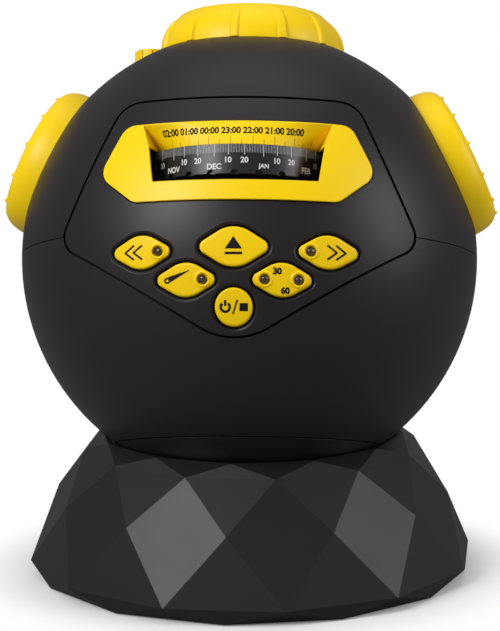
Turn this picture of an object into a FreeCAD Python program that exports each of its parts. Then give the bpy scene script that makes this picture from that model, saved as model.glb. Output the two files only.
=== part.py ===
# Star projector: a tilting ball that throws a star disc onto the ceiling, lying in a faceted stand.
# Origin: middle of the stand's underside. +Z up, the front looks along -Y. Millimetres.
# Everything inside the ball is drawn about the ball's own centre, upright, then placed leaning back.
import FreeCAD, Part
import math
import os
import re
import Sketcher

Vector = FreeCAD.Vector
Rotation = FreeCAD.Rotation
Placement = FreeCAD.Placement

# Driving dimensions, in millimetres, degrees or counts
SIZES = [
    ("ball_radius", 80.0, "outside of the ball"),
    ("ball_wall", 2.5, "wall of the moulded shells"),
    ("ball_height", 111.25, "centre of the ball above the table"),
    ("ball_tilt", 16.1, "how far the lens axis leans back at rest"),
    ("seam_gap", 0.3, "dark line where two shells meet"),
    ("slip_gap", 0.2, "gap between flat pieces that slide or turn"),
    ("turn_gap", 0.06, "radial running clearance of a shaft or collar"),
    ("cap_level", -65.4, "parting line between lower shell and bottom cap"),
    ("seat_level", 72.6, "flat on top of the ball under the focus ring"),
    ("stand_foot_radius", 76.5, "stand corners on the table"),
    ("stand_belt_radius", 79.5, "widest corners of the stand"),
    ("stand_belt_level", 5.5, "height of the widest corners"),
    ("stand_mid_level", 28.6, "height of the middle corners"),
    ("stand_neck_radius", 59.2, "upper corners of the stand"),
    ("stand_neck_level", 45.5, "height of the upper corners"),
    ("stand_top_radius", 54.1, "corners of the top rim"),
    ("stand_top_level", 49.9, "height of the top rim"),
    ("stand_turn", 11.66, "first corner, from the front towards the right"),
    ("stand_sides", 12, "facets round the stand"),
    ("stand_wall", 2.6, "wall of the stand"),
    ("stand_foot_level", 0.5, "underside of the stand above its rubber feet"),
    ("mouth_radius", 51.9, "round opening that the ball looks out of"),
    ("ledge_radius", 43.5, "opening through the ledge under the seat ring"),
    ("ledge_level", 38.0, "top of that ledge"),
    ("plate_thick", 2.2, "floor plate of the stand"),
    ("pad_inner", 45.2, "soft pad under the ball, inner edge"),
    ("pad_outer", 50.9, "soft pad, outer edge"),
    ("pad_gap", 0.3, "gap between the ball and what it lies on"),
    ("ring_inner", 44.5, "seat ring, inner edge"),
    ("ring_cone_low", 42.2, "seat ring, inner edge of its cone"),
    ("ring_cone_high", 47.6, "seat ring, outer edge of its cone"),
    ("plate_low", 1.6, "underside of the stand's floor plate"),
    ("plate_screw_high", 1.2, "screw heads under the floor plate"),
    ("boss_radius", 3.5, "screw bosses"),
    ("stand_boss_out", 42.0, "stand's bosses, across and back"),
    ("foot_out", 58.0, "rubber feet from the middle"),
    ("foot_radius", 6.5, "rubber feet"),
    ("panel_top_half", 38.4, "front panel, half width along its top edge"),
    ("panel_top", 44.55, "front panel, top edge"),
    ("panel_side_half", 59.6, "front panel, side corner"),
    ("panel_side_level", -2.6, "front panel, height of the side corner"),
    ("panel_bottom", 38.2, "front panel, lower point below the equator"),
    ("panel_top_round", 9.0, "rounding of its top corners"),
    ("panel_side_round", 6.5, "rounding of its side corners"),
    ("panel_bottom_round", 21.7, "rounding of its lower point"),
    ("panel_groove", 0.8, "dark groove round the panel"),
    ("lip_step", 1.0, "how far the shells reach in behind the panel"),
    ("lip_out", 2.5, "how far the lip runs under the shell"),
    ("bezel_top_half", 37.0, "drawer front, half width along the top"),
    ("bezel_top", 35.9, "drawer front, top edge"),
    ("bezel_side_half", 45.6, "drawer front, side corner"),
    ("bezel_side_level", 18.8, "drawer front, height of the side corner"),
    ("bezel_bottom_half", 33.5, "drawer front, half width along the bottom"),
    ("bezel_bottom", 8.8, "drawer front, bottom edge"),
    ("bezel_round", 5.5, "rounding of its corners"),
    ("bezel_proud", 0.9, "how far the drawer front stands out of the ball"),
    ("bezel_wall", 2.5, "wall of the drawer front"),
    ("bezel_gap", 0.35, "gap round the drawer front"),
    ("window_top_half", 28.7, "dial window, half width at the top"),
    ("window_bottom_half", 27.0, "dial window, half width at the bottom"),
    ("window_bottom", 15.4, "dial window, lower edge"),
    ("drum_radius", 30.3, "date drum"),
    ("drum_low", 17.5, "date drum, lower rim"),
    ("drum_high", 27.2, "date drum, upper rim"),
    ("drum_wall", 2.5, "date drum, thickness of the rim"),
    ("drum_notches", 24, "thumb notches round the drum"),
    ("notch_radius", 1.3, "thumb notch"),
    ("scale_radius", 28.1, "fixed hour scale above the drum"),
    ("scale_wall", 1.2, "wall behind the hour scale"),
    ("gear_module", 1.0, "tooth size of all three gears"),
    ("gear_teeth", 48, "teeth of the drum gear and of the turntable"),
    ("pinion_teeth", 16, "teeth of the motor pinion"),
    ("gear_low", 28.4, "underside of the gears"),
    ("gear_thick", 3.0, "face width of the gears"),
    ("gear_slack", 0.3, "tooth play on the pitch circle"),
    ("tooth_top", 0.9, "tooth height above the pitch circle, in modules"),
    ("tooth_root", 1.25, "tooth depth below the pitch circle, in modules"),
    ("root_bite", 0.3, "how far a tooth reaches into its ring"),
    ("collar_radius", 20.0, "collar that the turntable turns on"),
    ("light_radius", 17.5, "light opening through the drawer"),
    ("disc_radius", 26.0, "star disc"),
    ("disc_thick", 1.4, "star disc frame"),
    ("tray_half", 33.6, "drawer tray, half width of its floor"),
    ("tray_low", 10.8, "underside of the drawer tray"),
    ("tray_floor", 2.0, "floor of the drawer tray"),
    ("tray_back", 45.0, "back end of the drawer tray"),
    ("tray_front", 69.4, "front end of the drawer tray"),
    ("tray_side_half", 30.8, "outside of the tray's side walls"),
    ("tray_side_high", 27.0, "top of the tray's side walls"),
    ("chassis_low", 6.2, "underside of the chassis plate"),
    ("chassis_thick", 2.0, "chassis plate"),
    ("chassis_radius", 64.5, "chassis plate"),
    ("barrel_radius", 17.0, "outside of the lens barrel"),
    ("barrel_low", 54.0, "rear end of the lens barrel at rest"),
    ("barrel_high", 84.9, "front end of the lens barrel at rest"),
    ("sleeve_radius", 19.3, "outside of the focus ring's inner sleeve"),
    ("mount_radius", 22.0, "outside of the fixed lens mount"),
    ("focus_top", 87.7, "top face of the focus ring"),
    ("focus_foot_radius", 31.3, "foot of the focus ring"),
    ("focus_rib_radius", 32.6, "foot of its ribs"),
    ("focus_ribs", 12, "ribs round the focus ring"),
    ("rib_width", 2.8, "width of a rib"),
    ("focus_wall", 2.3, "wall of the focus ring"),
    ("focus_gap", 0.3, "gap under the focus ring"),
    ("pod_level", 27.0, "speaker pods, axis above the equator"),
    ("pod_seat", 75.0, "flat seat of a pod from the ball's centre"),
    ("pod_seat_radius", 27.5, "radius of that seat"),
    ("pod_radius", 26.9, "foot of a pod"),
    ("pod_face", 85.1, "face of a pod from the ball's centre"),
    ("pod_face_radius", 21.8, "flat rim of the face"),
    ("pod_bore", 19.0, "opening that the grille sits in"),
    ("pod_neck", 16.8, "opening behind the grille"),
    ("grille_thick", 1.2, "speaker grille"),
    ("grille_gap", 0.15, "gap round the grille"),
    ("meteor_x", -37.2, "small projector, across"),
    ("meteor_y", 17.2, "small projector, back"),
    ("meteor_radius", 6.0, "small projector's ring"),
    ("meteor_top", 78.4, "small projector's top"),
    ("meteor_split", 73.8, "where its ring turns on its collar"),
    ("meteor_tube", 4.3, "its tube"),
    ("rim_radius", 41.0, "locating rim of the bottom cap"),
    ("rim_high", 4.5, "height of that rim above the parting line"),
    ("shell_boss_out", 52.0, "screw bosses that join the shells, across"),
    ("shell_boss_back", 47.0, "screw bosses that join the shells, back"),
    ("well_deep", 9.0, "screw heads below the equator"),
    ("post_out", 50.0, "chassis posts, across"),
    ("post_back", 36.0, "chassis posts at the back"),
    ("post_front", 36.0, "chassis posts at the front"),
    ("post_radius", 1.7, "posts of the key board"),
    ("post_row_out", 16.2, "upper posts of the key board, across"),
    ("post_row_up", 1.5, "upper posts of the key board, up"),
    ("post_low_out", 29.5, "lower posts of the key board, across"),
    ("post_low_up", -17.2, "lower posts of the key board, up"),
    ("key_row_out", 30.2, "skip keys, across"),
    ("key_row_up", -7.6, "skip keys, up"),
    ("key_low_out", 15.5, "comet and timer keys, across"),
    ("key_low_up", -16.9, "comet and timer keys, up"),
    ("eject_up", -6.45, "eject key, up"),
    ("power_up", -25.6, "power key, up"),
    ("lamp_out", 5.45, "lamps from the middle of a key"),
    ("lamp_proud", 0.3, "how far a lamp stands out of the ball's surface"),
    ("key_deep", 4.1, "back of a key's flange below the ball's surface"),
    ("stem_radius", 1.7, "key stems and switch buttons"),
    ("switch_high", 4.6, "switch with its button, from the key board"),
    ("switch_half", 3.0, "half width of a switch"),
    ("board_half", 39.5, "key board, half width"),
    ("board_top", 4.6, "key board, top edge"),
    ("board_side", -13.0, "key board, where its sides turn in"),
    ("board_low_half", 12.0, "key board, half width at the bottom"),
    ("board_low", -32.0, "key board, bottom edge"),
    ("inlet_nose", 4.4, "outside of the power socket's nose"),
    ("inlet_x", -12.0, "power socket, across"),
    ("inlet_z", -6.8, "power socket, up"),
    ("sound_nose", 3.2, "outside of the sound socket's nose"),
    ("sound_x", 11.0, "sound socket, across"),
    ("sound_z", -8.8, "sound socket, up"),
    ("boss_hole", 1.36, "pilot hole for a screw"),
    ("boss_hole_deep", 7.0, "depth of a pilot hole"),
    ("shell_boss_radius", 5.0, "bosses that join the shells"),
    ("screw_head_high", 1.8, "height of a screw head"),
    ("scoop_half", 26.05, "hour scale, half width where it meets its side walls"),
    ("scoop_top_half", 31.0, "hour scale, half width at its top edge"),
    ("scoop_front_half", 34.1, "side walls of the scale, carried forward to here"),
    ("scoop_top_front_half", 37.0, "the same at the top edge"),
    ("scoop_front", 95.0, "front of the scale's cutting form"),
    ("scale_low", 27.5, "lower edge of the hour scale"),
    ("scale_high", 35.5, "upper edge of the hour scale"),
    ("tooth_lean", 20.0, "flank angle of the teeth"),
    ("tab_in", 16.0, "bezel's fixing tabs, inner edge"),
    ("tab_out", 26.0, "bezel's fixing tabs, outer edge"),
    ("tab_back", 60.0, "bezel's fixing tabs, back end"),
    ("tab_thick", 1.6, "bezel's fixing tabs"),
    ("post_drum_radius", 4.0, "post that the drum turns on"),
    ("drum_shoulder", 6.5, "shoulder under the drum"),
    ("drum_web", 2.0, "web of the drum"),
    ("drum_hub", 9.0, "hub of the drum"),
    ("drum_spigot", 7.0, "spigot that carries the drum's gear"),
    ("notch_deep", 1.5, "depth of a thumb notch"),
    ("clip_radius", 6.5, "clip on top of the drum's post"),
    ("clip_thick", 0.8, "that clip"),
    ("collar_wall_out", 21.6, "collar below the turntable"),
    ("disc_seat", 22.0, "rim of the turntable under the disc"),
    ("disc_seat_high", 0.6, "height of that rim above the teeth"),
    ("film_radius", 15.3, "star film"),
    ("film_opening", 14.5, "opening of the disc frame"),
    ("film_thick", 0.3, "star film"),
    ("motor_radius", 8.0, "drawer motor"),
    ("motor_high", 14.2, "height of the motor with its gearbox"),
    ("shaft_radius", 1.5, "motor shaft"),
    ("shaft_deep", 6.0, "how far the shaft reaches into the gearbox"),
    ("tray_side_front", 14.0, "front end of the tray's side walls"),
    ("tray_side_wall", 1.4, "side walls of the tray"),
    ("rail_front", 58.0, "front end of the drawer rails"),
    ("rail_back", 50.0, "back end of the drawer rails"),
    ("runner_in", 27.5, "drawer runners, inner edge"),
    ("runner_out", 32.5, "drawer runners, outer edge"),
    ("rail_wall", 2.0, "walls of the drawer rails"),
    ("rail_gap", 0.3, "side play of the drawer"),
    ("rail_lip", 2.0, "how far a rail reaches over the tray floor"),
    ("rail_lip_thick", 2.2, "thickness of that lip"),
    ("light_hole", 15.5, "light opening in the chassis"),
    ("standoff_out", 19.0, "posts of the main board, across"),
    ("standoff_near", 36.0, "front posts of the main board"),
    ("standoff_far", 58.0, "rear posts of the main board"),
    ("standoff_radius", 2.5, "posts of the main board"),
    ("holder_radius", 17.0, "outside of the condenser holder"),
    ("holder_bore", 14.9, "bore above the condenser lens"),
    ("holder_shoulder", 13.2, "bore below the condenser lens"),
    ("holder_flange", 21.0, "flange of the condenser holder"),
    ("condenser_low", -4.0, "flat face of the condenser lens"),
    ("condenser_high", 4.0, "crown of the condenser lens"),
    ("condenser_curve", 20.0, "radius of the condenser's curved face"),
    ("lens_gap", 0.2, "gap round a lens"),
    ("sink_base", 3.0, "base of the heat sink"),
    ("sink_fin_high", 16.0, "height of its fins"),
    ("sink_fins", 8, "number of fins"),
    ("sink_fin_thick", 1.5, "thickness of a fin"),
    ("lamp_board_radius", 10.0, "lamp board"),
    ("lamp_base", 2.6, "base of the projector lamp"),
    ("lamp_dome", 2.2, "dome of the projector lamp"),
    ("main_board_half", 24.0, "main board, half width"),
    ("main_board_front", 30.0, "main board, front edge"),
    ("main_board_back", 71.0, "main board, back edge"),
    ("socket_back", 74.4, "back face of the socket bodies"),
    ("guide_low", 51.0, "rear end of the lens mount"),
    ("guide_high", 60.5, "top of the mount's guide bore"),
    ("mount_high", 79.0, "front end of the lens mount"),
    ("mount_flange", 26.0, "flange of the lens mount"),
    ("guide_slot", 19.1, "bottom of the guide slots"),
    ("sleeve_low", 61.0, "rear end of the focus ring's sleeve"),
    ("lens_radius", 14.6, "projection lenses"),
    ("front_lens_low", 76.0, "rear of the front lens"),
    ("front_lens_thick", 6.0, "front lens"),
    ("rear_lens_low", 60.0, "rear of the rear lens"),
    ("rear_lens_thick", 5.0, "rear lens"),
    ("lens_curve", 30.0, "radius of the curved lens faces"),
    ("lens_stop", 13.2, "shoulders inside the barrel"),
    ("pod_shelf", 78.8, "shelf that the speaker sits under"),
    ("speaker_radius", 18.7, "speaker"),
    ("speaker_low", 63.0, "back of the speaker's magnet"),
    ("speaker_flange_low", 76.8, "back of the speaker's flange"),
    ("magnet_radius", 12.0, "speaker magnet"),
    ("grille_low", 82.6, "back of the grille"),
    ("grille_hole", 1.3, "holes of the grille"),
    ("grille_pitch", 4.2, "distance between rings of holes"),
    ("meteor_bore", 3.1, "bore of its tube"),
    ("guide_key_reach", 18.8, "outside of the barrel's guide keys"),
    ("guide_key_wide", 3.0, "width of a guide key"),
    ("guide_key_high", 3.0, "height of a guide key"),
    ("key_bite", 1.0, "how far small parts reach into what carries them"),
    ("focus_rim", 24.9, "rim of the focus ring's top face"),
    ("focus_shoulder", 1.9, "rounded rim of the top face, height"),
    ("focus_curve_in", 20.0, "middle of the ring's curved side, from the axis"),
    ("focus_curve_high", 15.5, "height of that curve"),
    ("focus_rib_high", 14.3, "height of the ribs' curve"),
    ("focus_cut", 56.3, "where the curved side ends, along its quarter turn"),
    ("focus_mouth", 17.6, "opening in the top face"),
    ("focus_plate", 2.3, "plate behind the top face"),
    ("rib_turn", 7.0, "first rib from the front, towards the left"),
    ("retainer_bore", 13.0, "opening of the ring that holds the front lens"),
    ("retainer_thick", 1.4, "thickness of that ring"),
    ("flange_thick", 2.0, "flanges of the lens mount and condenser holder"),
    ("lamp_step", 1.0, "step of the projector lamp"),
    ("lamp_high", 2.4, "height of the projector lamp"),
    ("chip_half", 5.0, "half width of the main chip"),
    ("chip_back", 47.0, "middle of the main chip, back"),
    ("chip_high", 1.6, "height of the main chip"),
    ("can_radius", 2.6, "capacitors on the main board"),
    ("can_high", 6.0, "height of the capacitors"),
    ("can_out", 13.0, "capacitors, across"),
    ("can_near", 43.0, "capacitors, front one"),
    ("can_far", 50.0, "capacitors, rear one"),
    ("plug_half", 10.0, "ribbon connector, half width"),
    ("plug_front", 31.5, "ribbon connector, front face"),
    ("plug_thick", 5.0, "ribbon connector, thickness and height"),
    ("inlet_half", 5.0, "power socket, half width"),
    ("inlet_deep", 10.0, "depth of the power socket's bore"),
    ("inlet_pin", 1.0, "centre pin of the power socket"),
    ("pin_back", 2.0, "how far that pin stands back"),
    ("sound_half", 4.0, "sound socket, half width"),
    ("sound_deep", 15.0, "depth of the sound socket's bore"),
    ("socket_front", 62.0, "front face of the socket bodies"),
    ("socket_face", 78.0, "outer end of both sockets' noses"),
    ("pod_inside", 19.2, "opening of a pod round its speaker"),
    ("pod_curve_in", 20.8, "middle of a pod's curved side, from its axis"),
    ("pod_curve_power", 0.77, "fullness of that curve"),
    ("bump_out", 22.9, "bumps on a pod's rim, from its axis"),
    ("bump_radius", 1.1, "radius of a bump"),
    ("bump_high", 0.5, "height of a bump"),
    ("magnet_thick", 5.0, "speaker magnet"),
    ("magnet_neck", 10.0, "speaker basket where it leaves the magnet"),
    ("basket_radius", 16.0, "speaker basket at its flange"),
    ("cone_radius", 16.4, "outer edge of the speaker cone"),
    ("cone_deep", 5.2, "depth of the speaker cone"),
    ("dust_cap", 5.0, "cap in the middle of the cone"),
    ("dust_cap_high", 1.6, "height of that cap"),
    ("grille_first", 6, "holes in the grille's first ring"),
    ("grille_edge", 18.85, "edge of the grille"),
    ("meteor_low", 62.0, "rear end of the small projector's tube"),
    ("meteor_tube_top", 77.6, "front end of that tube"),
    ("meteor_collar", 6.4, "collar under its ring"),
    ("meteor_lens_low", 75.0, "rear of its lens"),
    ("meteor_lens_thick", 1.6, "its lens"),
    ("meteor_lamp_base", 2.4, "base of its lamp"),
    ("meteor_lamp_radius", 1.5, "its lamp"),
    ("meteor_ribs", 10, "ribs round its ring"),
    ("meteor_rib_out", 6.35, "outside of those ribs"),
    ("meteor_rib_half", 0.6, "half width of a rib"),
    ("key_wide", 11.6, "small key, half width before rounding"),
    ("key_tall", 6.7, "small key, half height before rounding"),
    ("key_end_round", 2.2, "small key, rounding of its ends"),
    ("key_top_round", 8.4, "small key, rounding above and below"),
    ("eject_wide", 13.05, "eject key, half width before rounding"),
    ("eject_tall", 8.15, "eject key, half height before rounding"),
    ("eject_end_round", 2.3, "eject key, rounding of its ends"),
    ("eject_top_round", 9.6, "eject key, rounding above and below"),
    ("power_radius", 6.1, "round power key"),
    ("key_gap", 0.4, "gap round a key"),
    ("key_recess", 1.6, "dished step round a key"),
    ("recess_deep", 0.6, "depth of that step"),
    ("key_proud", 0.5, "how far a key stands out"),
    ("key_flange", 0.9, "how far a key's flange reaches under the panel"),
    ("key_travel", 0.9, "how far a key goes in"),
    ("lamp_radius", 1.5, "indicator lamp"),
    ("lamp_gap", 0.15, "gap round an indicator lamp"),
    ("board_front", 62.0, "front face of the key board from the ball's axis"),
    ("board_thick", 1.6, "circuit boards"),
    ("sink_top", -25.0, "top of the heat sink"),
    ("main_board_low", -14.0, "underside of the main board"),
    ("jack_radius", 1.8, "bore of the sound socket"),
    ("inlet_radius", 3.15, "bore of the power socket"),
    ("screw_head", 2.6, "radius of a screw head"),
    ("screw_shank", 1.3, "radius of a screw shank"),
]

doc = FreeCAD.newDocument("star_projector")
sheet = doc.addObject("Spreadsheet::Sheet", "Sizes")
for line, (alias, value, meaning) in enumerate(SIZES, 1):
    sheet.set(f"A{line}", str(value))
    sheet.setAlias(f"A{line}", alias)
    sheet.set(f"B{line}", meaning)
doc.recompute()

ALIASES = {alias for alias, _, _ in SIZES}


def bound(formula):
    """The formula with each alias read from the sheet."""
    return re.sub(r"[a-z]+(_[a-z]+)+", lambda m: "Sizes." + m.group(0) if m.group(0) in ALIASES else m.group(0),
                  formula)


def value(formula):
    """What a formula of sheet aliases comes to now."""
    return float(sheet.evalExpression(bound(str(formula))))


def bind(thing, prop, formula):
    """Tie a property to a formula; a plain number is set as it is."""
    text = str(formula)
    if re.search("[a-z]", text):
        thing.setExpression(prop, bound(text))
    else:
        setattr(thing, prop, float(text))


# The ball's own frame, leaning back about the X axis through its centre
BALL = Placement(Vector(0, 0, value("ball_height")), Rotation(Vector(-1, 0, 0), value("ball_tilt")))
STAND = Placement()
made = []


def sub_part(thing, label, frame=BALL):
    """Name a finished piece and put it in its place."""
    thing.Label = label
    thing.Placement = frame
    made.append(thing)
    return thing


# Primitives and booleans tied to the sheet
def put(thing, x, y, z):
    for axis, formula in zip("xyz", (x, y, z)):
        if re.search("[a-z]", str(formula)):
            thing.setExpression(f"Placement.Base.{axis}", bound(str(formula)))
        else:
            base = thing.Placement.Base
            setattr(base, axis, float(formula))
            thing.Placement.Base = base
    return thing


def box(name, x0, x1, y0, y1, z0, z1):
    """Box between two corners."""
    thing = doc.addObject("Part::Box", name)
    bind(thing, "Length", f"{value(x1) - value(x0)}" if plain(x0, x1) else f"({x1}) - ({x0})")
    bind(thing, "Width", f"{value(y1) - value(y0)}" if plain(y0, y1) else f"({y1}) - ({y0})")
    bind(thing, "Height", f"{value(z1) - value(z0)}" if plain(z0, z1) else f"({z1}) - ({z0})")
    return put(thing, x0, y0, z0)


def plain(*formulas):
    return not any(re.search("[a-z]", str(f)) for f in formulas)


def rod(name, radius, z0, z1, x="0", y="0"):
    """Upright cylinder from z0 to z1."""
    thing = doc.addObject("Part::Cylinder", name)
    bind(thing, "Radius", radius)
    bind(thing, "Height", f"{value(z1) - value(z0)}" if plain(z0, z1) else f"({z1}) - ({z0})")
    return put(thing, x, y, z0)


def peg(name, radius, y0, y1, x, z):
    """Cylinder lying along Y, from y0 back to y1."""
    thing = doc.addObject("Part::Cylinder", name)
    bind(thing, "Radius", radius)
    bind(thing, "Height", f"{value(y1) - value(y0)}" if plain(y0, y1) else f"({y1}) - ({y0})")
    thing.Placement = Placement(Vector(), Rotation(Vector(1, 0, 0), -90))
    return put(thing, x, y0, z)


def globe(name, radius):
    thing = doc.addObject("Part::Sphere", name)
    bind(thing, "Radius", radius)
    return thing


def cut(name, base, *tools):
    for tool in tools:
        result = doc.addObject("Part::Cut", name)
        result.Base = base
        result.Tool = tool
        base = result
    return base


def common(name, first, second):
    result = doc.addObject("Part::Common", name)
    result.Base = first
    result.Tool = second
    return result


def fuse(name, *pieces):
    result = doc.addObject("Part::MultiFuse", name)
    result.Shapes = list(pieces)
    return result


def group(name, *pieces):
    """Several loose solids kept together as one sub-part."""
    result = doc.addObject("Part::Compound", name)
    result.Links = list(pieces)
    return result


def skin(name, outer, inner):
    """Spherical skin between two radii."""
    return cut(name, globe(name + "_outer", outer), globe(name + "_inner", inner))


# Bodies and sketches tied to the sheet
def new_body(name):
    return doc.addObject("PartDesign::Body", name)


def new_sketch(body, name, role, lift="0"):
    """Sketch on an origin plane of its own body, lifted along that plane's normal."""
    sketch = body.newObject("Sketcher::SketchObject", name)
    plane = next(f for f in body.Origin.OriginFeatures if f.Role == role)
    sketch.AttachmentSupport = (plane, [""])
    sketch.MapMode = "FlatFace"
    if plain(lift):
        sketch.AttachmentOffset = Placement(Vector(0, 0, float(lift)), Rotation())
    else:
        sketch.setExpression("AttachmentOffset.Base.z", bound(lift))
    return sketch


def pin_point(sketch, geometry, end, across, up):
    """Fix one end of a line by its two distances from the origin."""
    for kind, formula, axis in (("DistanceX", across, -2), ("DistanceY", up, -1)):
        number = value(formula)
        if plain(formula) and number == 0:
            sketch.addConstraint(Sketcher.Constraint("PointOnObject", geometry, end, axis))
            continue
        index = sketch.addConstraint(Sketcher.Constraint(kind, -1, 1, geometry, end, number))
        if not plain(formula):
            sketch.setExpression(f"Constraints[{index}]", bound(formula))


def sharp_outline(sketch, corners):
    """Closed outline of straight lines through corners given as pairs of formulas."""
    points = [Vector(value(a), value(b), 0) for a, b in corners]
    count = len(points)
    first = sketch.GeometryCount
    for i in range(count):
        sketch.addGeometry(Part.LineSegment(points[i], points[(i + 1) % count]))
    for i in range(count):
        sketch.addConstraint(Sketcher.Constraint("Coincident", first + i, 2, first + (i + 1) % count, 1))
        pin_point(sketch, first + i, 1, *corners[i])


def rounded_outline(sketch, corners, grow="0"):
    """Closed outline with rounded corners, anticlockwise, each (across, up, radius).

    Construction lines hold the sharp corners; the real lines run beside them, further out by grow.
    """
    points = [Vector(value(a), value(b), 0) for a, b, _ in corners]
    count = len(points)
    out = value(grow)
    ways = [(points[(i + 1) % count] - points[i]).normalize() for i in range(count)]
    normals = [Vector(w.y, -w.x, 0) for w in ways]
    guides = []
    for i in range(count):
        guides.append(sketch.addGeometry(Part.LineSegment(points[i], points[(i + 1) % count]), True))
    for i in range(count):
        sketch.addConstraint(Sketcher.Constraint("Coincident", guides[i], 2, guides[(i + 1) % count], 1))
        pin_point(sketch, guides[i], 1, corners[i][0], corners[i][1])
    corner_points = []
    radii = []
    trims = []
    for i in range(count):
        before = normals[i - 1]
        after = normals[i]
        miter = (before + after).normalize()
        corner_points.append(points[i] + miter * (out / miter.dot(after)))
        radii.append(value(corners[i][2]) + out)
        turn = math.acos(max(-1.0, min(1.0, ways[i - 1].dot(ways[i]))))
        trims.append(radii[i] * math.tan(turn / 2))
    lines = []
    arcs = []
    for i in range(count):
        start = corner_points[i] + ways[i] * trims[i]
        end = corner_points[(i + 1) % count] - ways[i] * trims[(i + 1) % count]
        lines.append(sketch.addGeometry(Part.LineSegment(start, end)))
    for i in range(count):
        start = corner_points[i] - ways[i - 1] * trims[i]
        end = corner_points[i] + ways[i] * trims[i]
        centre = start - normals[i - 1] * radii[i]
        middle = centre + ((start + end) * 0.5 - centre).normalize() * radii[i]
        arcs.append(sketch.addGeometry(Part.Arc(start, middle, end)))
    for i in range(count):
        sketch.addConstraint(Sketcher.Constraint("Tangent", lines[i - 1], 2, arcs[i], 1))
        sketch.addConstraint(Sketcher.Constraint("Tangent", arcs[i], 2, lines[i], 1))
        index = sketch.addConstraint(Sketcher.Constraint("Radius", arcs[i], radii[i]))
        sketch.setExpression(f"Constraints[{index}]", bound(f"{corners[i][2]} + {grow}"))
        sketch.addConstraint(Sketcher.Constraint("Parallel", guides[i], lines[i]))
        if out == 0:
            sketch.addConstraint(Sketcher.Constraint("PointOnObject", lines[i], 1, guides[i]))
        else:
            index = sketch.addConstraint(Sketcher.Constraint("Distance", lines[i], 1, guides[i], abs(out)))
            sketch.setExpression(f"Constraints[{index}]", bound(f"abs({grow})"))


def round_hole(sketch, radius, x="0", y="0"):
    """Circle in a sketch."""
    index = sketch.addGeometry(Part.Circle(Vector(value(x), value(y), 0), Vector(0, 0, 1), value(radius)))
    place = sketch.addConstraint(Sketcher.Constraint("Radius", index, value(radius)))
    if not plain(radius):
        sketch.setExpression(f"Constraints[{place}]", bound(radius))
    pin_point(sketch, index, 3, x, y)


def pad(body, sketch, length, name="pad", backwards=False):
    feature = body.newObject("PartDesign::Pad", name)
    feature.Profile = sketch
    feature.Reversed = backwards
    bind(feature, "Length", length)
    return feature


def pocket(body, sketch, length, name="pocket", backwards=False):
    feature = body.newObject("PartDesign::Pocket", name)
    feature.Profile = sketch
    feature.Reversed = backwards
    bind(feature, "Length", length)
    return feature


def turned(name, corners, role="XZ_Plane"):
    """Body turned about Z from a half section, corners as (radius, height)."""
    body = new_body(name)
    sketch = new_sketch(body, name + "_section", role)
    sharp_outline(sketch, corners)
    feature = body.newObject("PartDesign::Revolution", name + "_turned")
    feature.Profile = sketch
    feature.ReferenceAxis = (sketch, ["V_Axis"])
    feature.Angle = 360
    return body


def repeat_round(body, feature, count, name="round"):
    """Repeat a feature round the body's Z axis."""
    pattern = body.newObject("PartDesign::PolarPattern", name)
    pattern.Originals = [feature]
    axis = next(f for f in body.Origin.OriginFeatures if f.Role == "Z_Axis")
    pattern.Axis = (axis, [""])
    pattern.Angle = 360
    bind(pattern, "Occurrences", count)
    body.Tip = pattern
    return pattern


def prism(name, corners, grow="0"):
    """Rounded outline in the front view, drawn out forwards past the ball."""
    body = new_body(name)
    sketch = new_sketch(body, name + "_outline", "XZ_Plane")
    rounded_outline(sketch, corners, grow)
    pad(body, sketch, "ball_radius + 20", name + "_pad")
    return body


# Stand: a faceted skirt of triangles and flat diamonds, open below, with a round mouth for the ball
def stand_corner(radius, level, step):
    """Corner of the stand; whole steps are belt corners, half steps lie between them."""
    angle = math.radians(value("stand_turn") + 360.0 / value("stand_sides") * step)
    return Vector(radius * math.sin(angle), -radius * math.cos(angle), level)


def faceted(inset, foot_level, top_level):
    """Closed faceted solid, the stand's outside drawn in by inset."""
    sides = int(value("stand_sides"))
    belt_radius = value("stand_belt_radius") - inset
    neck_radius = value("stand_neck_radius") - inset
    belt_level = value("stand_belt_level")
    neck_level = value("stand_neck_level")
    mid_level = value("stand_mid_level")
    share = (mid_level - belt_level) / (neck_level - belt_level)
    # The middle corners lie where they make each diamond flat
    mid_radius = (belt_radius + (neck_radius - belt_radius) * share) / math.cos(math.pi / sides)
    steps = range(sides)
    foot = [stand_corner(value("stand_foot_radius") - inset, foot_level, i + 0.5) for i in steps]
    belt = [stand_corner(belt_radius, belt_level, i) for i in steps]
    mid = [stand_corner(mid_radius, mid_level, i + 0.5) for i in steps]
    neck = [stand_corner(neck_radius, neck_level, i) for i in steps]
    top = [stand_corner(value("stand_top_radius") - inset, top_level, i + 0.5) for i in steps]
    outlines = [list(reversed(foot)), top]
    for i in steps:
        after = (i + 1) % sides
        outlines.append([foot[i], belt[after], belt[i]])
        outlines.append([foot[i - 1], foot[i], belt[i]])
        outlines.append([belt[i], belt[after], mid[i]])
        outlines.append([belt[i], mid[i], neck[i], mid[i - 1]])
        outlines.append([mid[i], neck[after], neck[i]])
        outlines.append([neck[i], neck[after], top[i]])
        outlines.append([neck[i], top[i], top[i - 1]])
    faces = [Part.Face(Part.makePolygon(outline + outline[:1])) for outline in outlines]
    solid = Part.Solid(Part.Shell(faces))
    if solid.Volume < 0:
        solid.reverse()
    return solid


def facet_block(name, inset, foot_level, top_level):
    block = doc.addObject("Part::Feature", name)
    block.Shape = faceted(inset, foot_level, top_level)
    return block


def corners_of(out):
    """The four corners of a square, by half its side."""
    return [(f"{a}{out}", f"{b}{out}") for a, b in (("", ""), ("", "-"), ("-", "-"), ("-", ""))]


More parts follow.
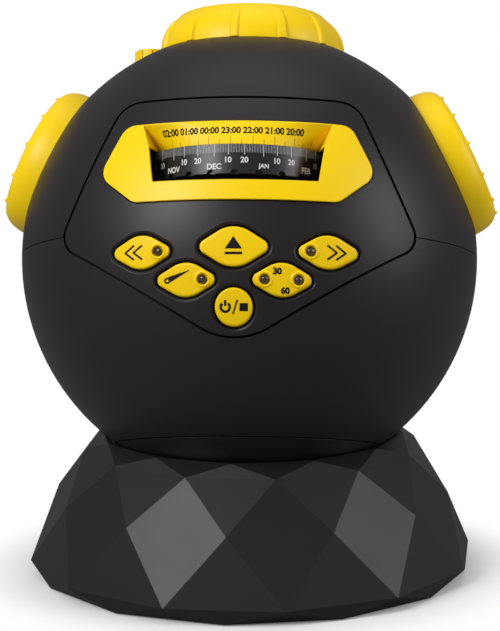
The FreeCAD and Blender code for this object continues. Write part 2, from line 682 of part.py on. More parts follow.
def make_stand():
    outside = facet_block("stand_outside", 0.0, value("stand_foot_level"), value("stand_top_level"))
    inside = facet_block("stand_inside", value("stand_wall"), -1.0, value("stand_top_level") - value("stand_wall"))
    neck = rod("stand_neck", "mouth_radius + stand_wall", "ledge_level - stand_wall", "ball_height")
    cavity = cut("stand_cavity", inside, neck)
    skirt = cut("stand_skirt", outside, cavity)
    mouth = rod("stand_mouth", "mouth_radius", "ledge_level", "ball_height")
    well = rod("stand_well", "ledge_radius", "0", "ball_height")
    skirt = cut("stand_open", skirt, mouth, well)
    posts = []
    for x, y in corners_of("stand_boss_out"):
        posts.append(rod("stand_post", "boss_radius", "plate_low + plate_thick", "ledge_level", x, y))
    bosses = common("stand_bosses", fuse("stand_posts", *posts), outside)
    pilots = [rod("stand_pilot", "boss_hole", "0", "plate_low + plate_thick + boss_hole_deep", x, y)
              for x, y in corners_of("stand_boss_out")]
    sub_part(cut("stand_drilled", fuse("stand_joined", skirt, bosses), *pilots), "stand_shell", STAND)

    plate = doc.addObject("Part::Prism", "plate_blank")
    bind(plate, "Polygon", "stand_sides")
    bind(plate, "Circumradius", "stand_foot_radius - stand_wall - pad_gap")
    bind(plate, "Height", "plate_thick")
    turn = value("stand_turn") + 180.0 / value("stand_sides") - 90.0
    plate.Placement = Placement(Vector(0, 0, value("plate_low")), Rotation(Vector(0, 0, 1), turn))
    holes = []
    screws = []
    for x, y in corners_of("stand_boss_out"):
        holes.append(rod("plate_hole", "screw_shank + slip_gap", "0", "ledge_level", x, y))
        head = rod("plate_screw_head", "screw_head", "plate_low - plate_screw_high", "plate_low", x, y)
        shank = rod("plate_screw_shank", "screw_shank", "plate_low - plate_screw_high",
                    "plate_low + plate_thick + boss_hole_deep - 1", x, y)
        screws.append(fuse("plate_screw", head, shank))
    sub_part(cut("plate_drilled", plate, fuse("plate_holes", *holes)), "floor_plate", STAND)
    sub_part(group("plate_screw_set", *screws), "plate_screws", STAND)

    feet = []
    for x, y in (("0", "foot_out"), ("foot_out", "0"), ("0", "-foot_out"), ("-foot_out", "0")):
        feet.append(rod("foot", "foot_radius", "0", "plate_low", x, y))
    sub_part(group("rubber_feet", *feet), "rubber_feet", STAND)


def make_seat():
    """Ring that turns in the stand's mouth, and the soft pad on it that the ball lies on."""
    outer = "mouth_radius - pad_gap"
    slope = "(ring_cone_high - ring_cone_low) / (mouth_radius - pad_gap - ring_inner)"
    low = "ledge_level + slip_gap"
    ring = turned("seat_ring_body", [("ring_inner", low), (outer, low), (outer, "ring_cone_high"),
                                     ("ring_inner", "ring_cone_low")])
    sub_part(ring, "seat_ring", STAND)
    under_in = f"ring_cone_low + turn_gap + (pad_inner - ring_inner) * {slope}"
    under_out = f"ring_cone_low + turn_gap + (pad_outer - ring_inner) * {slope}"
    over_in = "ball_height - sqrt((ball_radius + pad_gap)^2 - pad_inner^2)"
    over_out = "ball_height - sqrt((ball_radius + pad_gap)^2 - pad_outer^2)"
    pad_ring = turned("seat_pad_body", [("pad_inner", under_in), ("pad_outer", under_out),
                                        ("pad_outer", over_out), ("pad_inner", over_in)])
    sub_part(pad_ring, "seat_pad", STAND)


make_stand()
make_seat()

# Outlines in the front view, across and up, anticlockwise as seen from the front
PANEL = [("-panel_top_half", "panel_top", "panel_top_round"),
         ("-panel_side_half", "panel_side_level", "panel_side_round"),
         ("0", "-panel_bottom", "panel_bottom_round"),
         ("panel_side_half", "panel_side_level", "panel_side_round"),
         ("panel_top_half", "panel_top", "panel_top_round")]
BEZEL = [("-bezel_top_half", "bezel_top", "bezel_round"),
         ("-bezel_side_half", "bezel_side_level", "bezel_round"),
         ("-bezel_bottom_half", "bezel_bottom", "bezel_round"),
         ("bezel_bottom_half", "bezel_bottom", "bezel_round"),
         ("bezel_side_half", "bezel_side_level", "bezel_round"),
         ("bezel_top_half", "bezel_top", "bezel_round")]

# Keys: name, shape, middle across and up, and where its lamps stand from that middle
KEYS = [("back", "small", "-key_row_out", "key_row_up", ("lamp_out",)),
        ("next", "small", "key_row_out", "key_row_up", ("-lamp_out",)),
        ("eject", "eject", "0", "eject_up", ()),
        ("comet", "small", "-key_low_out", "key_low_up", ("lamp_out",)),
        ("timer", "small", "key_low_out", "key_low_up", ("lamp_out", "-lamp_out")),
        ("power", "round", "0", "power_up", ())]


def key_prism(name, shape, x, z, grow="0"):
    """Outline of one key drawn forwards, enlarged all round by grow."""
    if shape == "round":
        return peg(name, f"power_radius + ({grow})", "-ball_radius - 20", "0", x, z)
    wide, tall = ("key_wide", "key_tall") if shape == "small" else ("eject_wide", "eject_tall")
    ends, tops = (("key_end_round", "key_top_round") if shape == "small"
                  else ("eject_end_round", "eject_top_round"))
    corners = [(f"({x}) - {wide}", z, ends), (x, f"({z}) - {tall}", tops),
               (f"({x}) + {wide}", z, ends), (x, f"({z}) + {tall}", tops)]
    return prism(name, corners, grow)


def all_keys(name, grow):
    """The outlines of all the keys as one tool."""
    return fuse(name, *[key_prism(f"{name}_{key}", shape, x, z, grow) for key, shape, x, z, _ in KEYS])


def pod_frame(side):
    """A side pod's own frame: Z outwards along its axis."""
    return Rotation(Vector(0, 1, 0), side * (90.0 - value("pod_level")))


def pod_rod(name, side, radius, z0, z1):
    """Cylinder on a side pod's axis."""
    thing = doc.addObject("Part::Cylinder", name)
    bind(thing, "Radius", radius)
    bind(thing, "Height", f"({z1}) - ({z0})")
    turn = pod_frame(side)
    thing.Placement = Placement(turn.multVec(Vector(0, 0, value(z0))), turn)
    return thing


# Ball shells: upper, lower and bottom cap, parted along level lines, with a lip behind the panel
def make_shells():
    wall = skin("shell_wall", "ball_radius", "ball_radius - ball_wall")
    lip_skin = skin("lip_skin", "ball_radius - ball_wall + slip_gap", "ball_radius - 2 * ball_wall")
    lip = common("lip_band", lip_skin, prism("lip_outline", PANEL, "lip_out"))
    opening = cut("panel_opening", prism("groove_outline", PANEL, "panel_groove"),
                  globe("lip_face", "ball_radius - ball_wall - slip_gap"))
    way = prism("way_outline", PANEL, "-lip_step")
    blank = cut("ball_blank", fuse("ball_wall_lip", wall, lip), opening, way)

    # Upper shell: flat seat on top, a flat pad under each speaker pod
    half_seam = "seam_gap / 2"
    half = common("upper_half", blank, rod("upper_range", "ball_radius + 5", half_seam, "seat_level"))
    seat = rod("seat_plate", "sqrt(ball_radius^2 - seat_level^2) - slip_gap", "seat_level - ball_wall",
               "seat_level")
    pads = [pod_rod("pod_pad", side, "pod_seat_radius", "pod_seat - ball_wall", "pod_seat") for side in (-1, 1)]
    whole = fuse("upper_whole", half, seat, *pads)
    cuts = [rod("lens_hole", "mount_radius + pad_gap", "barrel_low", "focus_top")]
    for side in (-1, 1):
        cuts.append(pod_rod("pod_flat", side, "pod_seat_radius + ball_wall", "pod_seat", "ball_radius + 9"))
        cuts.append(pod_rod("pod_hole", side, "pod_neck", "pod_seat - 9", "pod_seat + 9"))
    cuts.append(rod("meteor_hole", "meteor_tube + turn_gap", "seat_level - 30", "focus_top", "meteor_x",
                    "meteor_y"))
    upper = cut("upper_open", whole, *cuts)
    bosses = [shell_boss(x, y, half_seam, "ball_radius") for x, y in SHELL_BOSSES]
    inside = globe("upper_boss_reach", "ball_radius - ball_wall / 2")
    upper_bosses = common("upper_bosses", fuse("upper_boss_rods", *bosses), inside)
    pilots = [rod("upper_pilot", "boss_hole", "-seam_gap", "boss_hole_deep", x, y) for x, y in SHELL_BOSSES]
    sub_part(cut("upper_drilled", fuse("upper_joined", upper, upper_bosses), *pilots), "upper_shell")

    # Lower shell: screw bosses at the back, posts for the chassis, holes for the two sockets
    half = common("lower_half", blank, rod("lower_range", "ball_radius + 5", "cap_level + seam_gap / 2",
                                           "-seam_gap / 2"))
    bosses = [shell_boss(x, y, "cap_level", "-seam_gap / 2") for x, y in SHELL_BOSSES]
    posts = [rod("chassis_post", "boss_radius", "cap_level", "chassis_low", x, y) for x, y in POSTS]
    inside = globe("lower_boss_reach", "ball_radius - ball_wall / 2")
    lower_bosses = common("lower_bosses", fuse("lower_boss_rods", *bosses, *posts), inside)
    cuts = [peg("inlet_hole", "inlet_nose + slip_gap", "0", "ball_radius + 5", "inlet_x", "inlet_z"),
            peg("sound_hole", "sound_nose + slip_gap", "0", "ball_radius + 5", "sound_x", "sound_z")]
    for x, y in SHELL_BOSSES:
        cuts.append(rod("screw_well", "screw_head + slip_gap", "cap_level", "-well_deep", x, y))
        cuts.append(rod("screw_way", "screw_shank + slip_gap", "cap_level", "seam_gap", x, y))
    for x, y in POSTS:
        cuts.append(rod("post_pilot", "boss_hole", "chassis_low - boss_hole_deep", "chassis_low + 1", x, y))
    sub_part(cut("lower_open", fuse("lower_whole", half, lower_bosses), *cuts), "lower_shell")

    # Bottom cap: the foot of the ball, with a rim that locates it inside the lower shell
    cap = common("cap_skin", skin("cap_wall", "ball_radius", "ball_radius - ball_wall"),
                 rod("cap_range", "ball_radius", "-ball_radius - 5", "cap_level - seam_gap / 2"))
    rim = cut("cap_rim", rod("cap_rim_outside", "rim_radius", "cap_level - ball_wall", "cap_level + rim_high"),
              rod("cap_rim_inside", "rim_radius - ball_wall", "cap_level - 2 * ball_wall", "0"))
    rim = common("cap_rim_trimmed", rim, globe("cap_rim_reach", "ball_radius - ball_wall / 2"))
    sub_part(fuse("cap_joined", cap, rim), "bottom_cap")

    screws = []
    for x, y in SHELL_BOSSES:
        head = rod("shell_screw_head", "screw_head", "-well_deep - screw_head_high", "-well_deep", x, y)
        shank = rod("shell_screw_shank", "screw_shank", "-well_deep - 1", "boss_hole_deep - 1", x, y)
        screws.append(fuse("shell_screw", head, shank))
    return screws


SHELL_BOSSES = [("shell_boss_out", "shell_boss_back"), ("-shell_boss_out", "shell_boss_back")]
POSTS = [("post_out", "post_back"), ("-post_out", "post_back"), ("post_out", "-post_front"),
         ("-post_out", "-post_front")]


def shell_boss(x, y, z0, z1):
    return rod("shell_boss", "shell_boss_radius", z0, z1, x, y)


# Front panel: carries the keys and the key board, open for the drawer front
def make_panel():
    face = common("panel_skin", skin("panel_wall", "ball_radius", "ball_radius - ball_wall"),
                  prism("panel_outline", PANEL))
    step = cut("key_steps", all_keys("recess", "key_recess"),
               globe("recess_floor", "ball_radius - recess_deep"))
    face = cut("panel_open", face, prism("drawer_opening", BEZEL, "bezel_gap"), all_keys("opening", "key_gap"),
               step)
    posts = []
    for x, z in BOARD_POSTS:
        post = peg("board_post", "post_radius", "-ball_radius", "-board_front", x, z)
        posts.append(common("board_post_cut", post, globe("board_post_reach", "ball_radius - ball_wall / 2")))
    sub_part(fuse("panel_joined", face, *posts), "front_panel")


BOARD_POSTS = [("post_row_out", "post_row_up"), ("-post_row_out", "post_row_up"),
               ("post_low_out", "post_low_up"), ("-post_low_out", "post_low_up")]


def make_keys():
    """Six sprung keys, each a curved cap with a flange behind the panel and a stem to its switch."""
    lamps = []
    switches = []
    for key, shape, x, z, lamp_places in KEYS:
        cap = common(f"{key}_cap", key_prism(f"{key}_face", shape, x, z),
                     skin(f"{key}_skin", "ball_radius + key_proud", "ball_radius - key_deep"))
        flange = common(f"{key}_flange", key_prism(f"{key}_rim", shape, x, z, "key_flange"),
                        skin(f"{key}_rim_skin", "ball_radius - ball_wall - key_gap", "ball_radius - key_deep"))
        depth = f"-sqrt((ball_radius - ball_wall)^2 - ({x})^2 - ({z})^2)"
        stem = peg(f"{key}_stem", "stem_radius", depth, "-board_front - switch_high - key_travel - slip_gap",
                   x, z)
        solid = fuse(f"{key}_solid", cap, flange, stem)
        holes = []
        for out in lamp_places:
            lamp_x = f"({x}) + ({out})"
            holes.append(peg(f"{key}_lamp_hole", "lamp_radius + lamp_gap", "-ball_radius - 5", "0", lamp_x, z))
            pipe = peg(f"{key}_lamp", "lamp_radius", "-ball_radius - 5", "-board_front", lamp_x, z)
            lamps.append(common(f"{key}_lamp_end", pipe, globe(f"{key}_lamp_reach", "ball_radius + lamp_proud")))
        sub_part(cut(f"{key}_pierced", solid, *holes) if holes else solid, f"key_{key}")
        body = box(f"{key}_switch_body", f"({x}) - switch_half", f"({x}) + switch_half",
                   "-board_front - switch_high + 1", "-board_front", f"({z}) - switch_half",
                   f"({z}) + switch_half")
        button = peg(f"{key}_switch_button", "stem_radius", "-board_front - switch_high", "-board_front", x, z)
        switches.append(fuse(f"{key}_switch", body, button))
    sub_part(group("key_lamp_set", *lamps), "key_lamps")
    sub_part(group("key_switch_set", *switches), "key_switches")
    board = prism_slab("key_board_blank", KEY_BOARD, "board_front", "board_thick")
    sub_part(board, "key_board")


KEY_BOARD = [("-board_half", "board_top"), ("-board_half", "board_side"), ("-board_low_half", "board_low"),
             ("board_low_half", "board_low"), ("board_half", "board_side"), ("board_half", "board_top")]


def prism_slab(name, corners, front, thick):
    """Flat upright plate, its front face at -front and its back face behind it."""
    body = new_body(name)
    sketch = new_sketch(body, name + "_outline", "XZ_Plane", front)
    sharp_outline(sketch, corners)
    pad(body, sketch, thick, name + "_pad", backwards=True)
    return body


shell_screws = make_shells()
sub_part(group("shell_screw_set", *shell_screws), "shell_screws")
make_panel()
make_keys()


# Chassis: a level plate across the ball with the two rails that the drawer slides in
def make_chassis():
    top = "chassis_low + chassis_thick"
    blank = rod("chassis_plate", "chassis_radius", "chassis_low", top)
    pieces = [blank]
    for side in ("", "-"):
        inner = "tray_half + rail_gap"
        over = "tray_low + tray_floor + rail_gap"
        pieces.append(side_box("runner", side, "runner_in", "runner_out", "-rail_front", "rail_back", top,
                               "tray_low - slip_gap"))
        pieces.append(side_box("rail_side", side, inner, f"{inner} + rail_wall", "-rail_front", "rail_back", top,
                               f"{over} + rail_lip_thick"))
        pieces.append(side_box("rail_over", side, "tray_half - rail_lip", f"{inner} + rail_wall", "-rail_front",
                               "rail_back", over, f"{over} + rail_lip_thick"))
    for x, y in STANDOFFS:
        pieces.append(rod("standoff", "standoff_radius", "main_board_low + board_thick", "chassis_low + 1", x, y))
    cuts = [rod("chassis_light", "light_hole", "chassis_low - 1", f"{top} + 1")]
    screws = []
    for x, y in POSTS:
        cuts.append(rod("chassis_hole", "screw_shank + slip_gap", "chassis_low - 1", f"{top} + 1", x, y))
        head = rod("chassis_screw_head", "screw_head", top, f"{top} + screw_head_high", x, y)
        shank = rod("chassis_screw_shank", "screw_shank", "chassis_low - boss_hole_deep + 1", f"{top} + 1", x, y)
        screws.append(fuse("chassis_screw", head, shank))
    sub_part(cut("chassis_open", fuse("chassis_joined", *pieces), *cuts), "chassis")
    sub_part(group("chassis_screw_set", *screws), "chassis_screws")


STANDOFFS = [("standoff_out", "standoff_near"), ("-standoff_out", "standoff_near"),
             ("standoff_out", "standoff_far"), ("-standoff_out", "standoff_far")]


def side_box(name, side, x0, x1, y0, y1, z0, z1):
    """Box on the right (side empty) or mirrored to the left (side a minus)."""
    if side:
        x0, x1 = f"-({x1})", f"-({x0})"
    return box(name, x0, x1, y0, y1, z0, z1)


# Drawer: tray, yellow front with the hour scale, date drum, turntable with the star disc, and the motor
def make_tray():
    floor_top = "tray_low + tray_floor"
    floor = box("tray_plate", "-tray_half", "tray_half", "-tray_front", "tray_back", "tray_low", floor_top)
    shoulder = "gear_low - slip_gap"
    collar_top = "gear_low + gear_thick"
    collar = cut("collar_passed", fuse("collar_whole",
                                       rod("collar_low", "collar_wall_out", "tray_low", shoulder),
                                       rod("collar_high", "collar_radius - turn_gap", "tray_low", collar_top)),
                 rod("drum_way", "drum_radius + pad_gap", "drum_low - slip_gap", "drum_high + slip_gap", "0",
                     DRUM_Y))
    pieces = [floor, collar,
              rod("drum_rest", "drum_shoulder", "tray_low", "drum_low - slip_gap", "0", DRUM_Y),
              rod("drum_post", "post_drum_radius", "tray_low", CLIP_TOP, "0", DRUM_Y),
              box("tray_end", "-tray_side_half", "tray_side_half", "tray_back - tray_side_wall", "tray_back",
                  "tray_low", "tray_side_high")]
    for side in ("", "-"):
        pieces.append(side_box("tray_side", side, "tray_side_half - tray_side_wall", "tray_side_half",
                               "-tray_side_front", "tray_back", "tray_low", "tray_side_high"))
    light = rod("tray_light", "light_radius", "tray_low - 1", f"{collar_top} + 1")
    sub_part(cut("tray_open", fuse("tray_joined", *pieces), light), "drawer_tray")
    clip = turned("clip_body", [("post_drum_radius + turn_gap", f"{CLIP_TOP} - clip_thick"),
                                ("clip_radius", f"{CLIP_TOP} - clip_thick"), ("clip_radius", CLIP_TOP),
                                ("post_drum_radius + turn_gap", CLIP_TOP)])
    sub_part(clip, "drum_clip", drawer_frame(DRUM_Y))


DRUM_Y = "-gear_module * gear_teeth"
MOTOR_Y = "gear_module * (gear_teeth + pinion_teeth) / 2"
CLIP_TOP = "gear_low + gear_thick + 2 * slip_gap + clip_thick"


def drawer_frame(y, turn=0.0):
    """Frame about an upright axis on the drawer's middle line."""
    return BALL.multiply(Placement(Vector(0, value(y), 0), Rotation(Vector(0, 0, 1), turn)))


def scoop(name, deeper):
    """Form between a tight arc round the drum below and the ball's own curve above."""
    body = new_body(name)
    sections = [("scale_low", DRUM_Y, "scale_radius", "scoop_half", "scoop_front_half"),
                ("scale_high", "0", "sqrt((ball_radius + bezel_proud)^2 - scale_high^2)", "scoop_top_half",
                 "scoop_top_front_half")]
    sketches = []
    for level, centre, radius, half, front_half in sections:
        sketch = new_sketch(body, f"{name}_{level}", "XY_Plane", level)
        scoop_section(sketch, centre, f"{radius} - {deeper}", half, f"{front_half} + {deeper}")
        sketches.append(sketch)
    loft = body.newObject("PartDesign::AdditiveLoft", name + "_loft")
    loft.Profile = sketches[0]
    loft.Sections = [sketches[1]]
    loft.Ruled = True
    return body


def scoop_section(sketch, centre, radius, half, front_half):
    """Arc round (0, centre), closed by two side walls and a straight front edge."""
    middle = Vector(0, value(centre), 0)
    reach = value(radius)
    side = value(half)
    drop = math.sqrt(reach ** 2 - side ** 2)
    left = Vector(-side, middle.y - drop, 0)
    right = Vector(side, middle.y - drop, 0)
    front = -value("scoop_front")
    arc = sketch.addGeometry(Part.Arc(left, middle + Vector(0, -reach, 0), right))
    corners = [right, Vector(value(front_half), front, 0), Vector(-value(front_half), front, 0), left]
    for start, end in zip(corners, corners[1:]):
        sketch.addGeometry(Part.LineSegment(start, end))
    sketch.addConstraint(Sketcher.Constraint("Coincident", arc, 2, arc + 1, 1))
    sketch.addConstraint(Sketcher.Constraint("Coincident", arc + 1, 2, arc + 2, 1))
    sketch.addConstraint(Sketcher.Constraint("Coincident", arc + 2, 2, arc + 3, 1))
    sketch.addConstraint(Sketcher.Constraint("Coincident", arc + 3, 2, arc, 1))
    pin_point(sketch, arc, 3, "0", centre)
    index = sketch.addConstraint(Sketcher.Constraint("Radius", arc, reach))
    sketch.setExpression(f"Constraints[{index}]", bound(radius))
    for end, formula in ((1, f"-({half})"), (2, half)):
        index = sketch.addConstraint(Sketcher.Constraint("DistanceX", -1, 1, arc, end, value(formula)))
        sketch.setExpression(f"Constraints[{index}]", bound(formula))
    pin_point(sketch, arc + 1, 2, front_half, "-scoop_front")
    pin_point(sketch, arc + 2, 2, f"-({front_half})", "-scoop_front")


def make_bezel():
    outline = prism("bezel_outline", BEZEL)
    outside = globe("bezel_outside", "ball_radius + bezel_proud")
    front = common("bezel_skin", cut("bezel_hollow", outside, globe("bezel_inside",
                   "ball_radius + bezel_proud - bezel_wall")), outline)
    backing = common("scale_backing", common("scale_outline", scoop("scale_back", "scale_wall"),
                     prism("scale_limit", BEZEL)), globe("scale_outside", "ball_radius + bezel_proud"))
    tabs = []
    for side in ("", "-"):
        tab = side_box("bezel_tab", side, "tab_in", "tab_out", "-ball_radius", "-tab_back",
                       "tray_low - tab_thick", "tray_low")
        tabs.append(common("bezel_tab_cut", tab, globe("tab_reach", "ball_radius - bezel_wall / 2")))
    window = new_body("window_form")
    sketch = new_sketch(window, "window_outline", "XZ_Plane")
    sharp_outline(sketch, [("-window_bottom_half", "window_bottom"), ("window_bottom_half", "window_bottom"),
                           ("window_top_half", "scale_low"), ("-window_top_half", "scale_low")])
    pad(window, sketch, "ball_radius + 20", "window_pad")
    gear_way = rod("gear_way", "gear_module * (gear_teeth / 2 + tooth_top) + pad_gap", "gear_low - slip_gap",
                   "gear_low + gear_thick + slip_gap", "0", DRUM_Y)
    solid = cut("bezel_open", fuse("bezel_joined", front, backing, *tabs), scoop("scale_form", "0"), window,
                gear_way)
    sub_part(solid, "drawer_front")


def tooth_body(name, section, teeth, low, thick):
    """Toothed ring: a turned section up to the root circle, with one tooth repeated round it."""
    body = turned(name, section)
    pitch = f"gear_module * {teeth} / 2"
    half = "(gear_module * pi / 2 - gear_slack) / 2"
    tip = f"{pitch} + gear_module * tooth_top"
    foot = f"{pitch} - gear_module * tooth_root - root_bite"
    tip_half = f"{half} - gear_module * tooth_top * tan(tooth_lean)"
    foot_half = f"{half} + (gear_module * tooth_root + root_bite) * tan(tooth_lean)"
    sketch = new_sketch(body, name + "_tooth", "XY_Plane", low)
    sharp_outline(sketch, [(f"-({foot_half})", foot), (foot_half, foot), (tip_half, tip),
                           (f"-({tip_half})", tip)])
    tooth = pad(body, sketch, thick, name + "_tooth_pad")
    repeat_round(body, tooth, teeth, name + "_teeth")
    return body


def root(teeth):
    return f"gear_module * {teeth} / 2 - gear_module * tooth_root"


def make_drum():
    bore = "post_drum_radius + turn_gap"
    body = turned("drum_body", [(bore, "drum_low"), ("drum_radius", "drum_low"), ("drum_radius", "drum_high"),
                                ("drum_radius - drum_wall", "drum_high"),
                                ("drum_radius - drum_wall", "drum_low + drum_web"),
                                ("drum_hub", "drum_low + drum_web"), ("drum_hub", "gear_low"),
                                ("drum_spigot", "gear_low"), ("drum_spigot", "gear_low + gear_thick"),
                                (bore, "gear_low + gear_thick")])
    doc.recompute()
    before = body.Shape.Volume
    sketch = new_sketch(body, "drum_notch", "XZ_Plane", "drum_radius - notch_deep")
    round_hole(sketch, "notch_radius", "0", "drum_low")
    notch = pocket(body, sketch, "notch_deep + 1", "drum_notch_pocket", backwards=True)
    doc.recompute()
    if body.Shape.Volume >= before:
        raise RuntimeError("the drum's notch cuts nothing")
    repeat_round(body, notch, "drum_notches", "drum_notch_round")
    sub_part(body, "date_drum", drawer_frame(DRUM_Y))
    top = "gear_low + gear_thick"
    spigot = "drum_spigot + turn_gap"
    gear = tooth_body("drum_gear_body", [(spigot, "gear_low"), (root("gear_teeth"), "gear_low"),
                                         (root("gear_teeth"), top), (spigot, top)],
                      "gear_teeth", "gear_low", "gear_thick")
    sub_part(gear, "drum_gear", drawer_frame(DRUM_Y, 180.0 / value("gear_teeth")))


def make_turntable():
    top = "gear_low + gear_thick"
    seat = f"{top} + disc_seat_high"
    table = tooth_body("table_body", [("collar_radius", "gear_low"), (root("gear_teeth"), "gear_low"),
                                      (root("gear_teeth"), top), ("disc_seat", top), ("disc_seat", seat),
                                      ("collar_radius", seat)], "gear_teeth", "gear_low", "gear_thick")
    sub_part(table, "turntable")
    shelf = f"{seat} + disc_thick - film_thick - disc_seat_high"
    frame = turned("disc_body", [("film_opening", seat), ("disc_radius", seat), ("disc_radius", f"{seat} + disc_thick"),
                                 ("film_radius + turn_gap", f"{seat} + disc_thick"),
                                 ("film_radius + turn_gap", shelf), ("film_opening", shelf)])
    sub_part(frame, "star_disc")
    film = turned("film_body", [("0", shelf), ("film_radius", shelf), ("film_radius", f"{shelf} + film_thick"),
                                ("0", f"{shelf} + film_thick")])
    sub_part(film, "star_film")


def make_motor():
    floor = "tray_low + tray_floor"
    face = f"{floor} + motor_high"
    bore = "shaft_radius + turn_gap"
    can = turned("motor_body", [("0", floor), ("motor_radius", floor), ("motor_radius", face), (bore, face),
                                (bore, f"{face} - shaft_deep - slip_gap"),
                                ("0", f"{face} - shaft_deep - slip_gap")])
    sub_part(can, "drawer_motor", drawer_frame(MOTOR_Y))
    top = "gear_low + gear_thick"
    foot = f"{face} - shaft_deep"
    pinion = tooth_body("pinion_body", [("0", foot), ("shaft_radius", foot), ("shaft_radius", "gear_low"),
                                        (root("pinion_teeth"), "gear_low"), (root("pinion_teeth"), top),
                                        ("0", top)], "pinion_teeth", "gear_low", "gear_thick")
    sub_part(pinion, "motor_pinion", drawer_frame(MOTOR_Y, 180.0 / value("pinion_teeth")))


make_chassis()
make_tray()
make_bezel()
make_drum()
make_turntable()
make_motor()


# Light path: condenser holder with its lens, heat sink, lamp board and projector lamp
def ground_lens(name, label, low, high, curve, crown_down=False):
    """Flat disc of glass with one curved face."""
    blank = rod(f"{name}_blank", "lens_radius", low, high)
    level = f"{low} + {curve}" if crown_down else f"{high} - {curve}"
    ball = put(globe(f"{name}_curve", curve), "0", "0", level)
    return sub_part(common(f"{name}_ground", blank, ball), label)


def make_light():
    shelf = "chassis_low - flange_thick"
    holder = turned("holder_body", [("holder_shoulder", "sink_top"), ("holder_radius", "sink_top"),
                                    ("holder_radius", shelf), ("holder_flange", shelf),
                                    ("holder_flange", "chassis_low"), ("holder_bore", "chassis_low"),
                                    ("holder_bore", "condenser_low"), ("holder_shoulder", "condenser_low")])
    sub_part(holder, "condenser_holder")
    ground_lens("condenser", "condenser_lens", "condenser_low", "condenser_high", "condenser_curve")
    base = "sink_top - sink_base"
    foot = f"{base} - sink_fin_high"
    fins = []
    for number in range(int(value("sink_fins"))):
        middle = f"(2 * {number} + 1 - sink_fins) * holder_radius / sink_fins"
        fin = box("sink_fin", f"{middle} - sink_fin_thick / 2", f"{middle} + sink_fin_thick / 2",
                  "-holder_radius", "holder_radius", foot, f"{base} + key_bite")
        fins.append(common("sink_fin_cut", fin, rod("sink_limit", "holder_radius", foot, "sink_top")))
    sub_part(fuse("sink_joined", rod("sink_plate", "holder_radius", base, "sink_top"), *fins), "heat_sink")
    top = "sink_top + board_thick"
    sub_part(group("lamp_plate_set", rod("lamp_plate", "lamp_board_radius", "sink_top", top)), "lamp_board")
    lamp = turned("lamp_body", [("0", top), ("lamp_base", top), ("lamp_base", f"{top} + lamp_step"),
                                ("lamp_dome", f"{top} + lamp_step"), ("lamp_dome / 2", f"{top} + lamp_high"),
                                ("0", f"{top} + lamp_high")])
    sub_part(lamp, "lamp_led")


# Electronics: main board hung from four posts, its parts, and the power and sound sockets
def make_boards():
    top = "main_board_low + board_thick"
    plate = box("main_board_plate", "-main_board_half", "main_board_half", "main_board_front", "main_board_back",
                "main_board_low", top)
    sub_part(group("main_plate_set", plate), "main_board")
    parts = [box("chip", "-chip_half", "chip_half", "chip_back - chip_half", "chip_back + chip_half", top,
                 f"{top} + chip_high"),
             box("ribbon_plug", "-plug_half", "plug_half", "plug_front", "plug_front + plug_thick", top,
                 f"{top} + plug_thick")]
    for x, y in (("can_out", "can_near"), ("-can_out", "can_near"), ("can_out", "can_far")):
        parts.append(rod("capacitor", "can_radius", top, f"{top} + can_high", x, y))
    sub_part(group("board_part_set", *parts), "board_parts")
    inlet = socket("power", "inlet_x", "inlet_z", "inlet_half", "inlet_nose", "inlet_radius", "inlet_deep")
    pin = peg("power_pin", "inlet_pin", "socket_face - inlet_deep - key_bite", "socket_face - pin_back",
              "inlet_x", "inlet_z")
    sub_part(fuse("power_pinned", inlet, pin), "power_inlet")
    sub_part(socket("sound", "sound_x", "sound_z", "sound_half", "sound_nose", "jack_radius", "sound_deep"),
             "sound_socket")


def socket(name, x, z, half, nose, bore, deep):
    """Block on the main board with a round nose through the shell and a bore in it."""
    top = "main_board_low + board_thick"
    block = box(f"{name}_block", f"{x} - {half}", f"{x} + {half}", "socket_front", "socket_back", top,
                f"2 * {z} - ({top})")
    snout = peg(f"{name}_snout", nose, "socket_back - key_bite", "socket_face", x, z)
    hole = peg(f"{name}_bore", bore, f"socket_face - {deep}", "socket_face + key_bite", x, z)
    return cut(f"{name}_open", fuse(f"{name}_joined", block, snout), hole)


# Lens mount: flanged tube under the top opening, with a guide bore and two slots for the barrel's keys
def make_lens_mount():
    under = "seat_level - ball_wall"
    guide = "barrel_radius + turn_gap"
    bore = "sleeve_radius + turn_gap"
    body = turned("mount_body", [(guide, "guide_low"), ("mount_radius", "guide_low"),
                                 ("mount_radius", f"{under} - flange_thick"),
                                 ("mount_flange", f"{under} - flange_thick"), ("mount_flange", under),
                                 ("mount_radius", under), ("mount_radius", "mount_high"), (bore, "mount_high"),
                                 (bore, "guide_high"), (guide, "guide_high")])
    slots = [side_box("guide_slot", side, "0", "guide_slot", "-guide_key_wide / 2 - slip_gap / 2",
                      "guide_key_wide / 2 + slip_gap / 2", "guide_low - key_bite", "guide_high")
             for side in ("", "-")]
    sub_part(cut("mount_slotted", body, *slots), "lens_mount")


